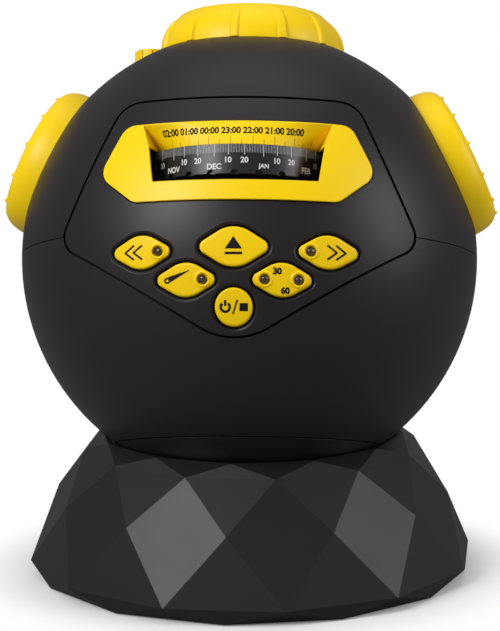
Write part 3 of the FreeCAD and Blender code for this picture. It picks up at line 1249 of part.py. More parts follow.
# Focus ring: round-shouldered knob with twelve ribs, and a sleeve inside that turns in the lens mount
def make_focus_ring():
    foot = "seat_level + focus_gap"
    bore = "barrel_radius + turn_gap"
    under = "focus_top - focus_plate"
    steps = [f"focus_cut * {share}" for share in (0.0, 0.2, 0.4, 0.6, 0.8, 1.0)]
    side = [(f"focus_curve_in + (focus_foot_radius - focus_curve_in) * cos({step})",
             f"{foot} + focus_curve_high * sin({step})") for step in steps]
    inside = [(f"focus_curve_in + (focus_foot_radius - focus_wall - focus_curve_in) * cos({step})",
               f"{foot} + (focus_curve_high - focus_wall) * sin({step})") for step in reversed(steps)]
    body = turned("focus_body", [("sleeve_radius", "sleeve_low"), ("sleeve_radius", under), ("focus_rim", under)]
                  + inside[1:] + side
                  + [("focus_rim + focus_shoulder / 3", "focus_top - focus_shoulder / 3"),
                     ("focus_rim", "focus_top"), ("focus_mouth", "focus_top"), ("focus_mouth", under),
                     (bore, under), (bore, "sleeve_low")])
    sketch = new_sketch(body, "focus_rib", "XZ_Plane")
    outer = [(f"focus_curve_in + (focus_rib_radius - focus_curve_in) * cos({step})",
              f"{foot} + focus_rib_high * sin({step})") for step in steps]
    inner = [(f"focus_curve_in + (focus_foot_radius - key_bite - focus_curve_in) * cos({step})",
              f"{foot} + (focus_curve_high - key_bite) * sin({step})") for step in reversed(steps)]
    sharp_outline(sketch, outer + inner)
    rib = pad(body, sketch, "rib_width", "focus_rib_pad")
    rib.Midplane = True
    repeat_round(body, rib, "focus_ribs", "focus_rib_round")
    turn = Placement(Vector(), Rotation(Vector(0, 0, 1), -90.0 - value("rib_turn")))
    sub_part(body, "focus_ring", BALL.multiply(turn))


# Optics in the barrel: barrel with its guide keys, two lenses and a retaining ring
def make_barrel():
    bore = "lens_radius + lens_gap"
    rear_stop = "rear_lens_low + rear_lens_thick"
    body = turned("barrel_body", [(bore, "barrel_low"), ("barrel_radius", "barrel_low"),
                                  ("barrel_radius", "barrel_high"), (bore, "barrel_high"),
                                  (bore, "front_lens_low"), ("lens_stop", "front_lens_low"),
                                  ("lens_stop", rear_stop), (bore, rear_stop)])
    keys = [side_box("guide_key", side, "barrel_radius - key_bite", "guide_key_reach", "-guide_key_wide / 2",
                     "guide_key_wide / 2", "barrel_low", "barrel_low + guide_key_high") for side in ("", "-")]
    sub_part(fuse("barrel_joined", body, *keys), "lens_barrel")
    high = "front_lens_low + front_lens_thick"
    ground_lens("front_glass", "front_lens", "front_lens_low", high, "lens_curve")
    ground_lens("rear_glass", "rear_lens", "rear_lens_low", rear_stop, "lens_curve", crown_down=True)
    low = f"{high} - lens_curve + sqrt(lens_curve^2 - retainer_bore^2)"
    edge = f"{bore} - turn_gap"
    ring = turned("retainer_body", [("retainer_bore", low), (edge, low), (edge, f"{low} + retainer_thick"),
                                    ("retainer_bore", f"{low} + retainer_thick")])
    sub_part(ring, "lens_retainer")


# Side pods: a domed ring on each flat of the upper shell, with a pierced grille and a speaker behind it
def make_pods():
    power = "pod_curve_power"
    curve = []
    for share in (0.0, 0.2, 0.4, 0.6, 0.8):
        turn = f"90 * {share}"
        curve.append((f"pod_curve_in + (pod_radius - pod_curve_in) * cos({turn})^{power}",
                      f"pod_seat + (pod_face - pod_seat) * sin({turn})^{power}"))
    cone_low = "pod_shelf - cone_deep"
    for name, side in (("left", -1), ("right", 1)):
        frame = BALL.multiply(Placement(Vector(), pod_frame(side)))
        body = turned(f"{name}_pod_body", [("pod_inside", "pod_seat")] + curve
                      + [("pod_face_radius", "pod_face"), ("pod_bore", "pod_face"), ("pod_bore", "grille_low"),
                         ("pod_neck", "grille_low"), ("pod_neck", "pod_shelf"), ("pod_inside", "pod_shelf")])
        sketch = new_sketch(body, f"{name}_bump", "XY_Plane", "pod_face - 2 * key_bite")
        round_hole(sketch, "bump_radius", "0", "bump_out")
        bump = pad(body, sketch, "2 * key_bite + bump_high", f"{name}_bump_pad")
        repeat_round(body, bump, "focus_ribs", f"{name}_bumps")
        sub_part(body, f"{name}_pod", frame)
        sub_part(grille(f"{name}_grille_body"), f"{name}_grille", frame)
        speaker = turned(f"{name}_speaker_body", [
            ("0", "speaker_low"), ("magnet_radius", "speaker_low"),
            ("magnet_radius", "speaker_low + magnet_thick"), ("magnet_neck", "speaker_low + magnet_thick"),
            ("basket_radius", "speaker_flange_low"), ("speaker_radius", "speaker_flange_low"),
            ("speaker_radius", "pod_shelf"), ("cone_radius", "pod_shelf"), ("dust_cap", cone_low),
            ("0", f"{cone_low} + dust_cap_high")])
        sub_part(speaker, f"{name}_speaker", frame)


def grille(name):
    """Round plate pierced by a middle hole and rings of holes, each ring with six more than the last."""
    high = "grille_low + grille_thick"
    body = turned(name, [("grille_hole", "grille_low"), ("grille_edge", "grille_low"), ("grille_edge", high),
                         ("grille_hole", high)])
    for ring in (1, 2, 3):
        sketch = new_sketch(body, f"{name}_ring_{ring}", "XY_Plane", high)
        round_hole(sketch, "grille_hole", "0", f"grille_pitch * {ring}")
        hole = pocket(body, sketch, "grille_thick + key_bite", f"{name}_hole_{ring}")
        repeat_round(body, hole, f"grille_first * {ring}", f"{name}_round_{ring}")
    return body


# Small projector for shooting stars: collar on the ball, tube through it, lens, lamp and a turning ring
def make_meteor():
    frame = BALL.multiply(Placement(Vector(value("meteor_x"), value("meteor_y"), 0), Rotation()))
    bore = "meteor_tube + turn_gap"
    blank = cut("collar_blank", rod("collar_rod", "meteor_collar", "meteor_low", "meteor_split", "meteor_x",
                                    "meteor_y"),
                globe("collar_foot", "ball_radius + turn_gap"),
                rod("collar_bore", bore, "meteor_low - key_bite", "meteor_top", "meteor_x", "meteor_y"))
    sub_part(blank, "meteor_collar")
    tube = turned("meteor_tube_body", [("meteor_bore", "meteor_low"), ("meteor_tube", "meteor_low"),
                                       ("meteor_tube", "meteor_tube_top"), ("meteor_bore", "meteor_tube_top")])
    sub_part(tube, "meteor_tube", frame)
    glass = "meteor_bore - turn_gap"
    lens = turned("meteor_lens_body", [("0", "meteor_lens_low"), (glass, "meteor_lens_low"),
                                       (glass, "meteor_lens_low + meteor_lens_thick / 2"),
                                       (f"({glass}) / 2", "meteor_lens_low + meteor_lens_thick"),
                                       ("0", "meteor_lens_low + meteor_lens_thick")])
    sub_part(lens, "meteor_lens", frame)
    lamp = turned("meteor_lamp_body", [("0", "meteor_low - meteor_lamp_base"),
                                       ("meteor_tube", "meteor_low - meteor_lamp_base"),
                                       ("meteor_tube", "meteor_low"), ("meteor_lamp_radius", "meteor_low"),
                                       ("meteor_lamp_radius", "meteor_low + lamp_high"),
                                       ("0", "meteor_low + lamp_high")])
    sub_part(lamp, "meteor_lamp", frame)
    foot = "meteor_split + slip_gap"
    ring = turned("meteor_ring_body", [(bore, foot), ("meteor_radius", foot),
                                       ("meteor_radius", "meteor_top - slip_gap"),
                                       ("meteor_radius - slip_gap", "meteor_top"), (bore, "meteor_top")])
    sketch = new_sketch(ring, "meteor_rib", "XY_Plane", foot)
    sharp_outline(sketch, [("-meteor_rib_half", "meteor_radius - key_bite"),
                           ("meteor_rib_half", "meteor_radius - key_bite"),
                           ("meteor_rib_half", "meteor_rib_out"), ("-meteor_rib_half", "meteor_rib_out")])
    rib = pad(ring, sketch, "meteor_top - meteor_split - 3 * slip_gap", "meteor_rib_pad")
    repeat_round(ring, rib, "meteor_ribs", "meteor_rib_round")
    sub_part(ring, "meteor_ring", frame)


make_light()
make_boards()
make_lens_mount()
make_focus_ring()
make_barrel()
make_pods()
make_meteor()




# Final check of every object, then one file for each sub-part
doc.recompute()
for thing in doc.Objects:
    if {"Invalid", "Error"} & set(thing.State):
        raise RuntimeError(f"{thing.Label} failed: {thing.State}")
for piece in made:
    if piece.Shape.isNull() or not piece.Shape.isValid() or not piece.Shape.Solids:
        raise RuntimeError(f"{piece.Label} has no valid solid")
os.makedirs("parts", exist_ok=True)
for piece in made:
    piece.Shape.exportStep(f"parts/{piece.Label}.step")
    print(piece.Label, len(piece.Shape.Solids), round(piece.Shape.Volume))
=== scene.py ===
# A star projector: a black ball leaning back in a faceted black stand, with a yellow drawer front, keys, pods
# and focus ring. Sizes are in millimetres in the ball's own upright frame, except where metres are named.
import bmesh
import bpy
import math
import numpy as np
from mathutils import Matrix, Vector


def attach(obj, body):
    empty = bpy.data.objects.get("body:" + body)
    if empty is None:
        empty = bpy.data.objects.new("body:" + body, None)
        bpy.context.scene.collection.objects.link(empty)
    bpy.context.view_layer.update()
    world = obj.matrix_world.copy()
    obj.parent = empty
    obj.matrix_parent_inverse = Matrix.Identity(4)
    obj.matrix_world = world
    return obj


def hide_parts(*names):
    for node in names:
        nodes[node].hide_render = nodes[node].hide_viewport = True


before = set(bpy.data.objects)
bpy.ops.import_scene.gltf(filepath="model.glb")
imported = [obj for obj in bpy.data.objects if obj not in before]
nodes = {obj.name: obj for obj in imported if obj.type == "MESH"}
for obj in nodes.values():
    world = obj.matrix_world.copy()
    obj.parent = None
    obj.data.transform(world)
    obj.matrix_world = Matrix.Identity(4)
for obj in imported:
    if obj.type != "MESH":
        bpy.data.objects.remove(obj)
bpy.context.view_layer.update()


# Camera: a long lens in front of the keys, a little above the ball's middle and a little to its right.
# It looks slightly down, so that the whole object fills the upright picture. Lengths here are in metres.
view_distance = 0.8755
view_height = math.radians(8.44)
view_turn = math.radians(3.744)
view_dip = math.radians(1.296)
view_roll = math.radians(0.507)
ball_height = 0.11125
ball_centre = Vector((0, 0, ball_height))
lens_pixels = 2480.3
picture_height = 631
film_height = 36.0

camera_data = bpy.data.cameras.new("photo_camera")
camera_data.sensor_width = film_height
camera_data.sensor_fit = "AUTO"
camera_data.lens = film_height * lens_pixels / picture_height
camera = bpy.data.objects.new("photo_camera", camera_data)
bpy.context.scene.collection.objects.link(camera)
slope = view_height + view_dip
forward = Vector((0, math.cos(slope), -math.sin(slope)))
right = Vector((1, 0, 0))
up = right.cross(forward)
rolled_right = right * math.cos(view_roll) - up * math.sin(view_roll)
rolled_up = right * math.sin(view_roll) + up * math.cos(view_roll)
camera_place = ball_centre + Vector((0, -math.cos(view_height), math.sin(view_height))) * view_distance
camera_axes = Matrix((rolled_right, rolled_up, -forward)).transposed().to_4x4()
camera.matrix_world = Matrix.Rotation(view_turn, 4, "Z") @ Matrix.Translation(camera_place) @ camera_axes
bpy.context.scene.camera = camera


# Stage: a plain white table top that runs on behind, in a white room; both light the object less than they show.
# A large soft lamp stands at the upper left, a weaker one at the right, one overhead. Lengths are in metres.
shadow_full = 0.066
shadow_gone = 0.108
table_seen = 0.92
table_bounce = 0.25
table_sides = (-2.5, 2.5)
table_ends = (-2.0, 3.5)
table_lines = 6
room_seen = 1.0
room_bounce = 0.25
lamp_aim = (0, 0, 0.1)


def new_material(name):
    """New material with a plain Principled shader: returns it, its node tree and its shader."""
    material = bpy.data.materials.new(name)
    material.use_nodes = True
    tree = material.node_tree
    return material, tree, tree.nodes["Principled BSDF"]


def between(tree, source, low, high):
    """Stretches a value that runs from 0 to 1 to the span from low to high."""
    span = tree.nodes.new("ShaderNodeMapRange")
    span.inputs["To Min"].default_value = low
    span.inputs["To Max"].default_value = high
    tree.links.new(source, span.inputs["Value"])
    return span.outputs["Result"]


def grid_mesh(name, points, wrap_rows=False, wrap_columns=False):
    """Mesh of quads on a grid of points, a face between four neighbours, joined at the ends where asked."""
    rows, columns = points.shape[:2]
    index = np.arange(rows * columns).reshape(rows, columns)
    if wrap_rows:
        index = np.concatenate([index, index[:1]], 0)
    if wrap_columns:
        index = np.concatenate([index, index[:, :1]], 1)
    quads = np.stack([index[:-1, :-1], index[:-1, 1:], index[1:, 1:], index[1:, :-1]], -1).reshape(-1, 4)
    mesh = bpy.data.meshes.new(name)
    mesh.from_pydata(points.reshape(-1, 3).tolist(), [], quads.tolist())
    mesh.update()
    mesh.shade_smooth()
    piece = bpy.data.objects.new(name, mesh)
    bpy.context.scene.collection.objects.link(piece)
    return piece


def soft_lamp(name, place, size, power):
    """Rectangular area lamp at a place, turned to the object."""
    data = bpy.data.lights.new(name, "AREA")
    data.shape = "RECTANGLE"
    data.size, data.size_y = size
    data.energy = power
    lamp = bpy.data.objects.new(name, data)
    bpy.context.scene.collection.objects.link(lamp)
    way = Vector(place) - Vector(lamp_aim)
    lamp.matrix_world = Matrix.Translation(place) @ way.to_track_quat("Z", "Y").to_matrix().to_4x4()


table_white, tree, shader = new_material("white_table")
shader.inputs["Roughness"].default_value = 0.75
ray = tree.nodes.new("ShaderNodeLightPath")
table_tone = between(tree, ray.outputs["Is Camera Ray"], table_bounce, table_seen)
tree.links.new(table_tone, shader.inputs["Base Color"])
where = tree.nodes.new("ShaderNodeTexCoord")
away = tree.nodes.new("ShaderNodeVectorMath")
away.operation = "LENGTH"
tree.links.new(where.outputs["Object"], away.inputs[0])
fade = tree.nodes.new("ShaderNodeMapRange")
fade.interpolation_type = "SMOOTHSTEP"
fade.inputs["From Min"].default_value = shadow_full
fade.inputs["From Max"].default_value = shadow_gone
tree.links.new(away.outputs["Value"], fade.inputs["Value"])
only_seen = tree.nodes.new("ShaderNodeMath")
only_seen.operation = "MULTIPLY"
tree.links.new(fade.outputs["Result"], only_seen.inputs[0])
tree.links.new(ray.outputs["Is Camera Ray"], only_seen.inputs[1])
paper = tree.nodes.new("ShaderNodeEmission")
both = tree.nodes.new("ShaderNodeMixShader")
tree.links.new(only_seen.outputs[0], both.inputs["Fac"])
tree.links.new(shader.outputs["BSDF"], both.inputs[1])
tree.links.new(paper.outputs["Emission"], both.inputs[2])
tree.links.new(both.outputs["Shader"], tree.nodes["Material Output"].inputs["Surface"])
across, along = np.meshgrid(np.linspace(*table_sides, table_lines), np.linspace(*table_ends, table_lines))
floor = grid_mesh("table_top", np.stack([across, along, np.zeros_like(across)], -1))
floor.data.materials.append(table_white)

world = bpy.data.worlds.new("studio")
bpy.context.scene.world = world
world.use_nodes = True
tree = world.node_tree
ray = tree.nodes.new("ShaderNodeLightPath")
seen = tree.nodes.new("ShaderNodeMath")
seen.operation = "MAXIMUM"
tree.links.new(ray.outputs["Is Camera Ray"], seen.inputs[0])
tree.links.new(ray.outputs["Is Transmission Ray"], seen.inputs[1])
room = tree.nodes["Background"]
room.inputs["Color"].default_value = (1, 1, 1, 1)
tree.links.new(between(tree, seen.outputs[0], room_bounce, room_seen), room.inputs["Strength"])

soft_lamp("key_lamp", (-0.75, -0.85, 0.85), (0.6, 0.6), 13.5)
soft_lamp("side_lamp", (1.05, -0.2, 0.5), (0.5, 0.7), 5.0)
soft_lamp("top_lamp", (0.0, 0.1, 1.2), (0.9, 0.9), 2.5)
bpy.context.scene.view_settings.view_transform = "Standard"


# Stand: one moulding of flat triangles and diamonds, in matte black plastic with a fine spark-eroded grain.
# It stands on soft feet; its floor plate is screwed in from below with plated screws.
cloud_scale = 35.0
cloud_detail = 3.0
gloss_change = 0.04


def noise(tree, scale, detail=2.0):
    """Noise that stays fixed to its piece, with about so many cells to the metre: its value from 0 to 1."""
    where = tree.nodes.new("ShaderNodeTexCoord")
    cells = tree.nodes.new("ShaderNodeTexNoise")
    cells.inputs["Scale"].default_value = scale
    cells.inputs["Detail"].default_value = detail
    tree.links.new(where.outputs["Object"], cells.inputs["Vector"])
    return cells.outputs["Fac"]


def bumped(tree, source, depth):
    """Bump node that lifts the surface by a value, up to a depth in metres."""
    bump = tree.nodes.new("ShaderNodeBump")
    bump.inputs["Distance"].default_value = depth
    tree.links.new(source, bump.inputs["Height"])
    return bump


def moulded(name, colour, rough, grain_size=0.0004, grain_depth=0.00001, edge=0.0003, specular=0.5):
    """Moulded plastic: one colour, a fine grain, slightly uneven gloss and softened edges. Sizes in metres."""
    material, tree, shader = new_material(name)
    shader.inputs["Base Color"].default_value = (*colour, 1)
    shader.inputs["Specular IOR Level"].default_value = specular
    gloss = between(tree, noise(tree, cloud_scale, cloud_detail), rough - gloss_change, rough + gloss_change)
    tree.links.new(gloss, shader.inputs["Roughness"])
    bump = bumped(tree, noise(tree, 1 / grain_size), grain_depth)
    if edge:
        soft = tree.nodes.new("ShaderNodeBevel")
        soft.samples = 4
        soft.inputs["Radius"].default_value = edge
        tree.links.new(soft.outputs["Normal"], bump.inputs["Normal"])
    tree.links.new(bump.outputs["Normal"], shader.inputs["Normal"])
    return material


def finish(material, *names):
    """Gives CAD nodes a material in place of their plain one."""
    for name in names:
        for slot in nodes[name].material_slots:
            slot.material = material


stand_plastic = moulded("stand_plastic", (0.011, 0.0098, 0.0112), rough=0.42, grain_size=0.0005,
                        grain_depth=0.00002, edge=0.0004, specular=0.34)
foot_rubber = moulded("foot_rubber", (0.03, 0.03, 0.03), rough=0.8, grain_size=0.0008,
                      grain_depth=0.00003, edge=0.0006, specular=0.3)
finish(stand_plastic, "stand_shell", "floor_plate", "seat_ring")
finish(foot_rubber, "rubber_feet")

steel, tree, shader = new_material("plated_steel")
shader.inputs["Base Color"].default_value = (0.6, 0.6, 0.58, 1)
shader.inputs["Metallic"].default_value = 1.0
tree.links.new(between(tree, noise(tree, 900.0), 0.28, 0.42), shader.inputs["Roughness"])
finish(steel, "plate_screws", "shell_screws", "chassis_screws", "drum_clip")


# Seat pad: a ring of black felt, cut from sheet and glued on the seat ring.
# The ball lies and turns on it.
felt, tree, shader = new_material("black_felt")
shader.inputs["Base Color"].default_value = (0.02, 0.02, 0.022, 1)
shader.inputs["Roughness"].default_value = 0.95
shader.inputs["Sheen Weight"].default_value = 0.3
fibres = bumped(tree, noise(tree, 1800.0, 6.0), 0.0002)
tree.links.new(fibres.outputs["Normal"], shader.inputs["Normal"])
finish(felt, "seat_pad")


# Ball: upper shell, lower shell, bottom cap and front panel, moulded in satin black with hardly any grain.
# Each is its CAD form, but the light on it is the ball's own: corners that lie on the ball take its direction.
ball_radius = 80.0
ball_wall = 2.5
panel_sink = 0.6
lean = math.radians(16.1)
metre = 1000
weld_reach = 1e-6
on_radius = 0.05
faces_out = 0.9


def ball_place(points):
    """From the ball's upright frame to the scene's metres: leaned back about X, then lifted to its centre."""
    x, y, z = np.moveaxis(np.asarray(points, float), -1, 0)
    back = y * math.cos(lean) + z * math.sin(lean)
    high = z * math.cos(lean) - y * math.sin(lean)
    return np.stack([x, back, high + ball_height * metre], -1) / metre


def joined_copy(node):
    """Copy of a CAD node as a new piece without materials, its triangles joined where their corners meet."""
    mesh = nodes[node].data.copy()
    old_normals = mesh.attributes.get("custom_normal")
    if old_normals:
        mesh.attributes.remove(old_normals)
    piece = bpy.data.objects.new(node + "_round", mesh)
    bpy.context.scene.collection.objects.link(piece)
    join = piece.modifiers.new("join", "WELD")
    join.merge_threshold = weld_reach
    finished = piece.evaluated_get(bpy.context.evaluated_depsgraph_get())
    joined_mesh = bpy.data.meshes.new_from_object(finished)
    piece.modifiers.clear()
    piece.data = joined_mesh
    joined_mesh.name = node + "_round"
    joined_mesh.materials.clear()
    return piece


def mesh_values(items, key, width, kind=np.float32):
    """One property of all corners, vertices or faces of a mesh, a row for each."""
    values = np.empty(len(items) * width, kind)
    items.foreach_get(key, values)
    return values.reshape(-1, width)


def round_copy(node, body, material, radii, sharp=25):
    """Copy of a CAD node that takes its place, shaded smooth up to the sharp angle.

    A corner whose distance from the ball's centre is one of the radii, on a face that looks along that line,
    gets the line's direction as its normal; every other corner keeps its smoothed normal.
    """
    piece = joined_copy(node)
    mesh = piece.data
    mesh.shade_smooth()
    mesh.set_sharp_from_angle(angle=math.radians(sharp))
    normals = mesh_values(mesh.corner_normals, "vector", 3)
    of_corner = mesh_values(mesh.loops, "vertex_index", 1, np.int32)[:, 0]
    way = mesh_values(mesh.vertices, "co", 3)[of_corner] - np.array(ball_centre)
    reach = np.linalg.norm(way, axis=1)
    way /= reach[:, None]
    sides = mesh_values(mesh.polygons, "loop_total", 1, np.int32)[:, 0]
    facing = (np.repeat(mesh_values(mesh.polygons, "normal", 3), sides, 0) * way).sum(1)
    for radius in radii:
        lies = (np.abs(reach * metre - radius) < on_radius) & (np.abs(facing) > faces_out)
        normals[lies] = way[lies] * np.sign(facing[lies])[:, None]
    mesh.normals_split_custom_set(normals)
    mesh.materials.append(material)
    finish(material, node)
    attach(piece, body)
    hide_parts(node)


ball_plastic = moulded("ball_plastic", (0.0125, 0.0098, 0.0115), rough=0.44, grain_size=0.0003,
                       grain_depth=0.000006, edge=0.0002, specular=0.36)
skin_radii = (ball_radius, ball_radius - ball_wall)
for node in ("upper_shell", "lower_shell", "bottom_cap"):
    round_copy(node, "ball", ball_plastic, skin_radii)
round_copy("front_panel", "ball", ball_plastic, skin_radii + (ball_radius - panel_sink,))


# Drawer front: one yellow moulding, a little proud of the ball, with the dial window and the scale's wall.
# It is clipped on the drawer tray by tabs under the tray's floor.
front_proud = 0.9
front_back = 1.6
front_step = 1.25
yellow = moulded("warm_yellow", (0.98, 0.66, 0.0), rough=0.40, grain_size=0.0005,
                 grain_depth=0.000005, edge=0.0006, specular=0.3)
front_radii = (ball_radius + front_proud, ball_radius - front_back, ball_radius - front_step)
round_copy("drawer_front", "drawer", yellow, front_radii)


# Date drum: a black ring with white print, turned by hand at the notches in its rim.
# A white gear carries it and meshes with the star disc's turntable.
drum_axis = -48.0
drum_reach = 30.3
drum_top = 27.2
ink_lift = 0.04
drum_print_high = 1.95
drum_print_bold = 0.03
month_level = 19.9
number_level = 22.0
tick_gap = 0.1
month_tick = (3.9, 0.2)
tenth_tick = (3.4, 0.2)
day_tick = (2.7, 0.085)
front_day = 348
front_turn = 1.05
day_turn = 360 / 365
months = [("JAN", 31), ("FEB", 28), ("MAR", 31), ("APR", 30), ("MAY", 31), ("JUN", 30),
          ("JUL", 31), ("AUG", 31), ("SEP", 30), ("OCT", 31), ("NOV", 30), ("DEC", 31)]


def letters(text, height, bold):
    """Printed text as flat triangles: corners as (across, up) round the text's middle, and faces."""
    curve = bpy.data.curves.new("print", "FONT")
    curve.body = text
    curve.offset = bold
    curve.align_x = "CENTER"
    curve.align_y = "CENTER"
    curve.resolution_u = 4
    holder = bpy.data.objects.new("print", curve)
    bpy.context.scene.collection.objects.link(holder)
    mesh = bpy.data.meshes.new_from_object(holder.evaluated_get(bpy.context.evaluated_depsgraph_get()))
    corners = np.array([vertex.co[:2] for vertex in mesh.vertices])
    faces = [tuple(polygon.vertices) for polygon in mesh.polygons]
    middle = (corners.max(0) + corners.min(0)) / 2
    corners = (corners - middle) * height / np.ptp(corners[:, 1])
    bpy.data.objects.remove(holder)
    bpy.data.curves.remove(curve)
    bpy.data.meshes.remove(mesh)
    return corners, faces


def bar(x0, z0, x1, z1, thick):
    """Printed stroke between two points, as one flat quad."""
    run = np.array([x1 - x0, z1 - z0])
    side = np.array([-run[1], run[0]]) * thick / 2 / np.hypot(*run)
    start = np.array([x0, z0])
    end = np.array([x1, z1])
    return np.array([start - side, end - side, end + side, start + side]), [(0, 1, 2, 3)]


def upright(tall, wide):
    """Upright printed tick round its own middle."""
    return bar(0, -tall / 2, 0, tall / 2, wide)


def printed(name, patches, body, material):
    """One thin piece of print: flat patches, each already laid on its surface in the ball's frame."""
    corners = []
    faces = []
    total = 0
    for points, patch_faces in patches:
        corners.append(points)
        faces += [tuple(i + total for i in face) for face in patch_faces]
        total += len(points)
    mesh = bpy.data.meshes.new(name)
    mesh.from_pydata(ball_place(np.concatenate(corners)).tolist(), [], faces)
    mesh.update()
    piece = bpy.data.objects.new(name, mesh)
    bpy.context.scene.collection.objects.link(piece)
    mesh.materials.append(material)
    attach(piece, body)


def on_drum(patch, angle, level):
    """Wraps a flat patch on the drum, its middle at an angle to the right of the front and at a level."""
    corners, faces = patch
    turn = math.radians(angle) + corners[:, 0] / drum_reach
    reach = drum_reach + ink_lift
    points = np.stack([reach * np.sin(turn), drum_axis - reach * np.cos(turn), level + corners[:, 1]], -1)
    return points, faces


def ink(name, colour, rough, specular=0.5):
    """Printing ink or paint: one colour and one gloss all over."""
    material, _, shader = new_material(name)
    shader.inputs["Base Color"].default_value = (*colour, 1)
    shader.inputs["Roughness"].default_value = rough
    shader.inputs["Specular IOR Level"].default_value = specular
    return material


drum_plastic = moulded("drum_plastic", (0.012, 0.012, 0.013), rough=0.35, grain_depth=0.000004)
finish(drum_plastic, "date_drum")
white_ink = ink("white_ink", (0.66, 0.67, 0.69), 0.5)
marks = []
day = 0
for month, length in months:
    first_turn = front_turn + day_turn * (day - front_day)
    marks.append(on_drum(letters(month, drum_print_high, drum_print_bold), first_turn, month_level))
    for number in (10, 20):
        digits = letters(str(number), drum_print_high, drum_print_bold)
        marks.append(on_drum(digits, first_turn + day_turn * (number - 1), number_level))
    for step in range(length):
        tick = month_tick if step == 0 else tenth_tick if step in (9, 19) else day_tick
        marks.append(on_drum(upright(*tick), first_turn + day_turn * step, drum_top - tick_gap - tick[0] / 2))
    day += length
printed("drum_print", marks, "drum", white_ink)

gear_plastic = moulded("gear_plastic", (0.80, 0.79, 0.74), rough=0.35, grain_size=0.0006,
                       grain_depth=0.000004, edge=0.0002)
finish(gear_plastic, "drum_gear", "turntable", "motor_pinion")


# Hour scale: black numbers and fine brown lines printed on the curved wall above the drum.
# The wall runs straight from a tight arc round the drum, below, to the ball's own curve, above.
scale_low = 27.5
scale_high = 35.5
low_reach = 28.1
low_wide = 26.05
high_wide = 31.0
high_reach = math.sqrt((ball_radius + front_proud) ** 2 - scale_high ** 2)
low_half = math.asin(low_wide / low_reach)
high_half = math.asin(high_wide / high_reach)
print_reach = low_reach + 1.0
scale_lift = 0.06
scale_turn = -3.3
hour_turn = 15
hour_high = 2.35
hour_bold = 0.03
hour_level = 32.5
whole_line = 3.0
half_line = 1.7
line_wide = 0.14
hours = ["%02d:00" % (hour % 24) for hour in range(26, 19, -1)]


def on_scale(patch, angle, level):
    """Lays a flat patch on the scale wall: along it by the lower arc's angle, up it in a straight line."""
    corners, faces = patch
    turn = math.radians(angle) + corners[:, 0] / print_reach
    height = level + corners[:, 1]
    share = (height - scale_low) / (scale_high - scale_low)
    high_turn = turn / low_half * high_half
    inner = low_reach + scale_lift
    outer = high_reach + scale_lift
    low = np.stack([inner * np.sin(turn), drum_axis - inner * np.cos(turn)], -1)
    high = np.stack([outer * np.sin(high_turn), -outer * np.cos(high_turn)], -1)
    flat = low + (high - low) * share[:, None]
    return np.concatenate([flat, height[:, None]], 1), faces


black_ink = ink("black_ink", (0.007, 0.006, 0.005), 0.6, 0.2)
line_ink = ink("line_ink", (0.32, 0.17, 0.005), 0.55)
numbers = [on_scale(letters(hour, hour_high, hour_bold), hour_turn * (place - 3) + scale_turn, hour_level)
           for place, hour in enumerate(hours)]
printed("hour_print", numbers, "drawer", black_ink)
lines = []
for step in range(-7, 9):
    tall = whole_line if step % 2 == 0 else half_line
    lines.append(on_scale(upright(tall, line_wide), hour_turn / 2 * step + scale_turn, scale_low + tall / 2))
printed("hour_lines", lines, "drawer", line_ink)


# Keys: six yellow caps that follow the ball's curve; four have raised eyes for the lamps, one of them two.
# Each slides in its own well, whose rim is dished into the panel, round a gap; the dish's inner slope and the
# gap are painted near-black, a painted shade standing in for the shade down in the well.
key_reach = ball_radius + 0.5
key_edge = 0.75
key_deep = 4.4
edge_rows = 7
eye_out = 5.45
eye_ring = 2.2
eye_rise = 0.34
eye_soft = 0.42
hole_deep = 1.1
hole_floor = 1.5
hole_mouth = 1.85
rim_points = 240
rim_out = np.array([1.95, 1.75, 1.6, 1.45, 1.3, 1.1, 0.9, 0.7, 0.52, 0.42, 0.38, 0.38])
rim_deep = np.array([-0.01, -0.03, -0.03, 0.02, 0.13, 0.30, 0.42, 0.49, 0.54, 0.62, 0.8, 3.0])
# From this row of the rim inward, down the dish's inner slope into the gap, the faces get the near-black painted
# shade.
first_painted_shade_row = 6
round_half = 6.1


def diamond(wide, high, tip, belly):
    """Corners of a diamond from its half sizes, and their radii: at the tips, and above and below."""
    return [(wide, 0), (0, high), (-wide, 0), (0, -high)], [tip, belly, tip, belly]


small_outline = diamond(11.6, 6.7, 2.2, 8.4)
wide_outline = diamond(13.05, 8.15, 2.3, 9.6)
round_outline = ([(round_half, -round_half), (round_half, round_half), (-round_half, round_half),
                  (-round_half, -round_half)], [round_half] * 4)
keys = [("key_back", small_outline, -30.2, -7.6, (eye_out,)),
        ("key_next", small_outline, 30.2, -7.6, (-eye_out,)),
        ("key_eject", wide_outline, 0.0, -6.45, ()),
        ("key_comet", small_outline, -15.5, -16.9, (eye_out,)),
        ("key_timer", small_outline, 15.5, -16.9, (-eye_out, eye_out)),
        ("key_power", round_outline, 0.0, -25.6, ())]


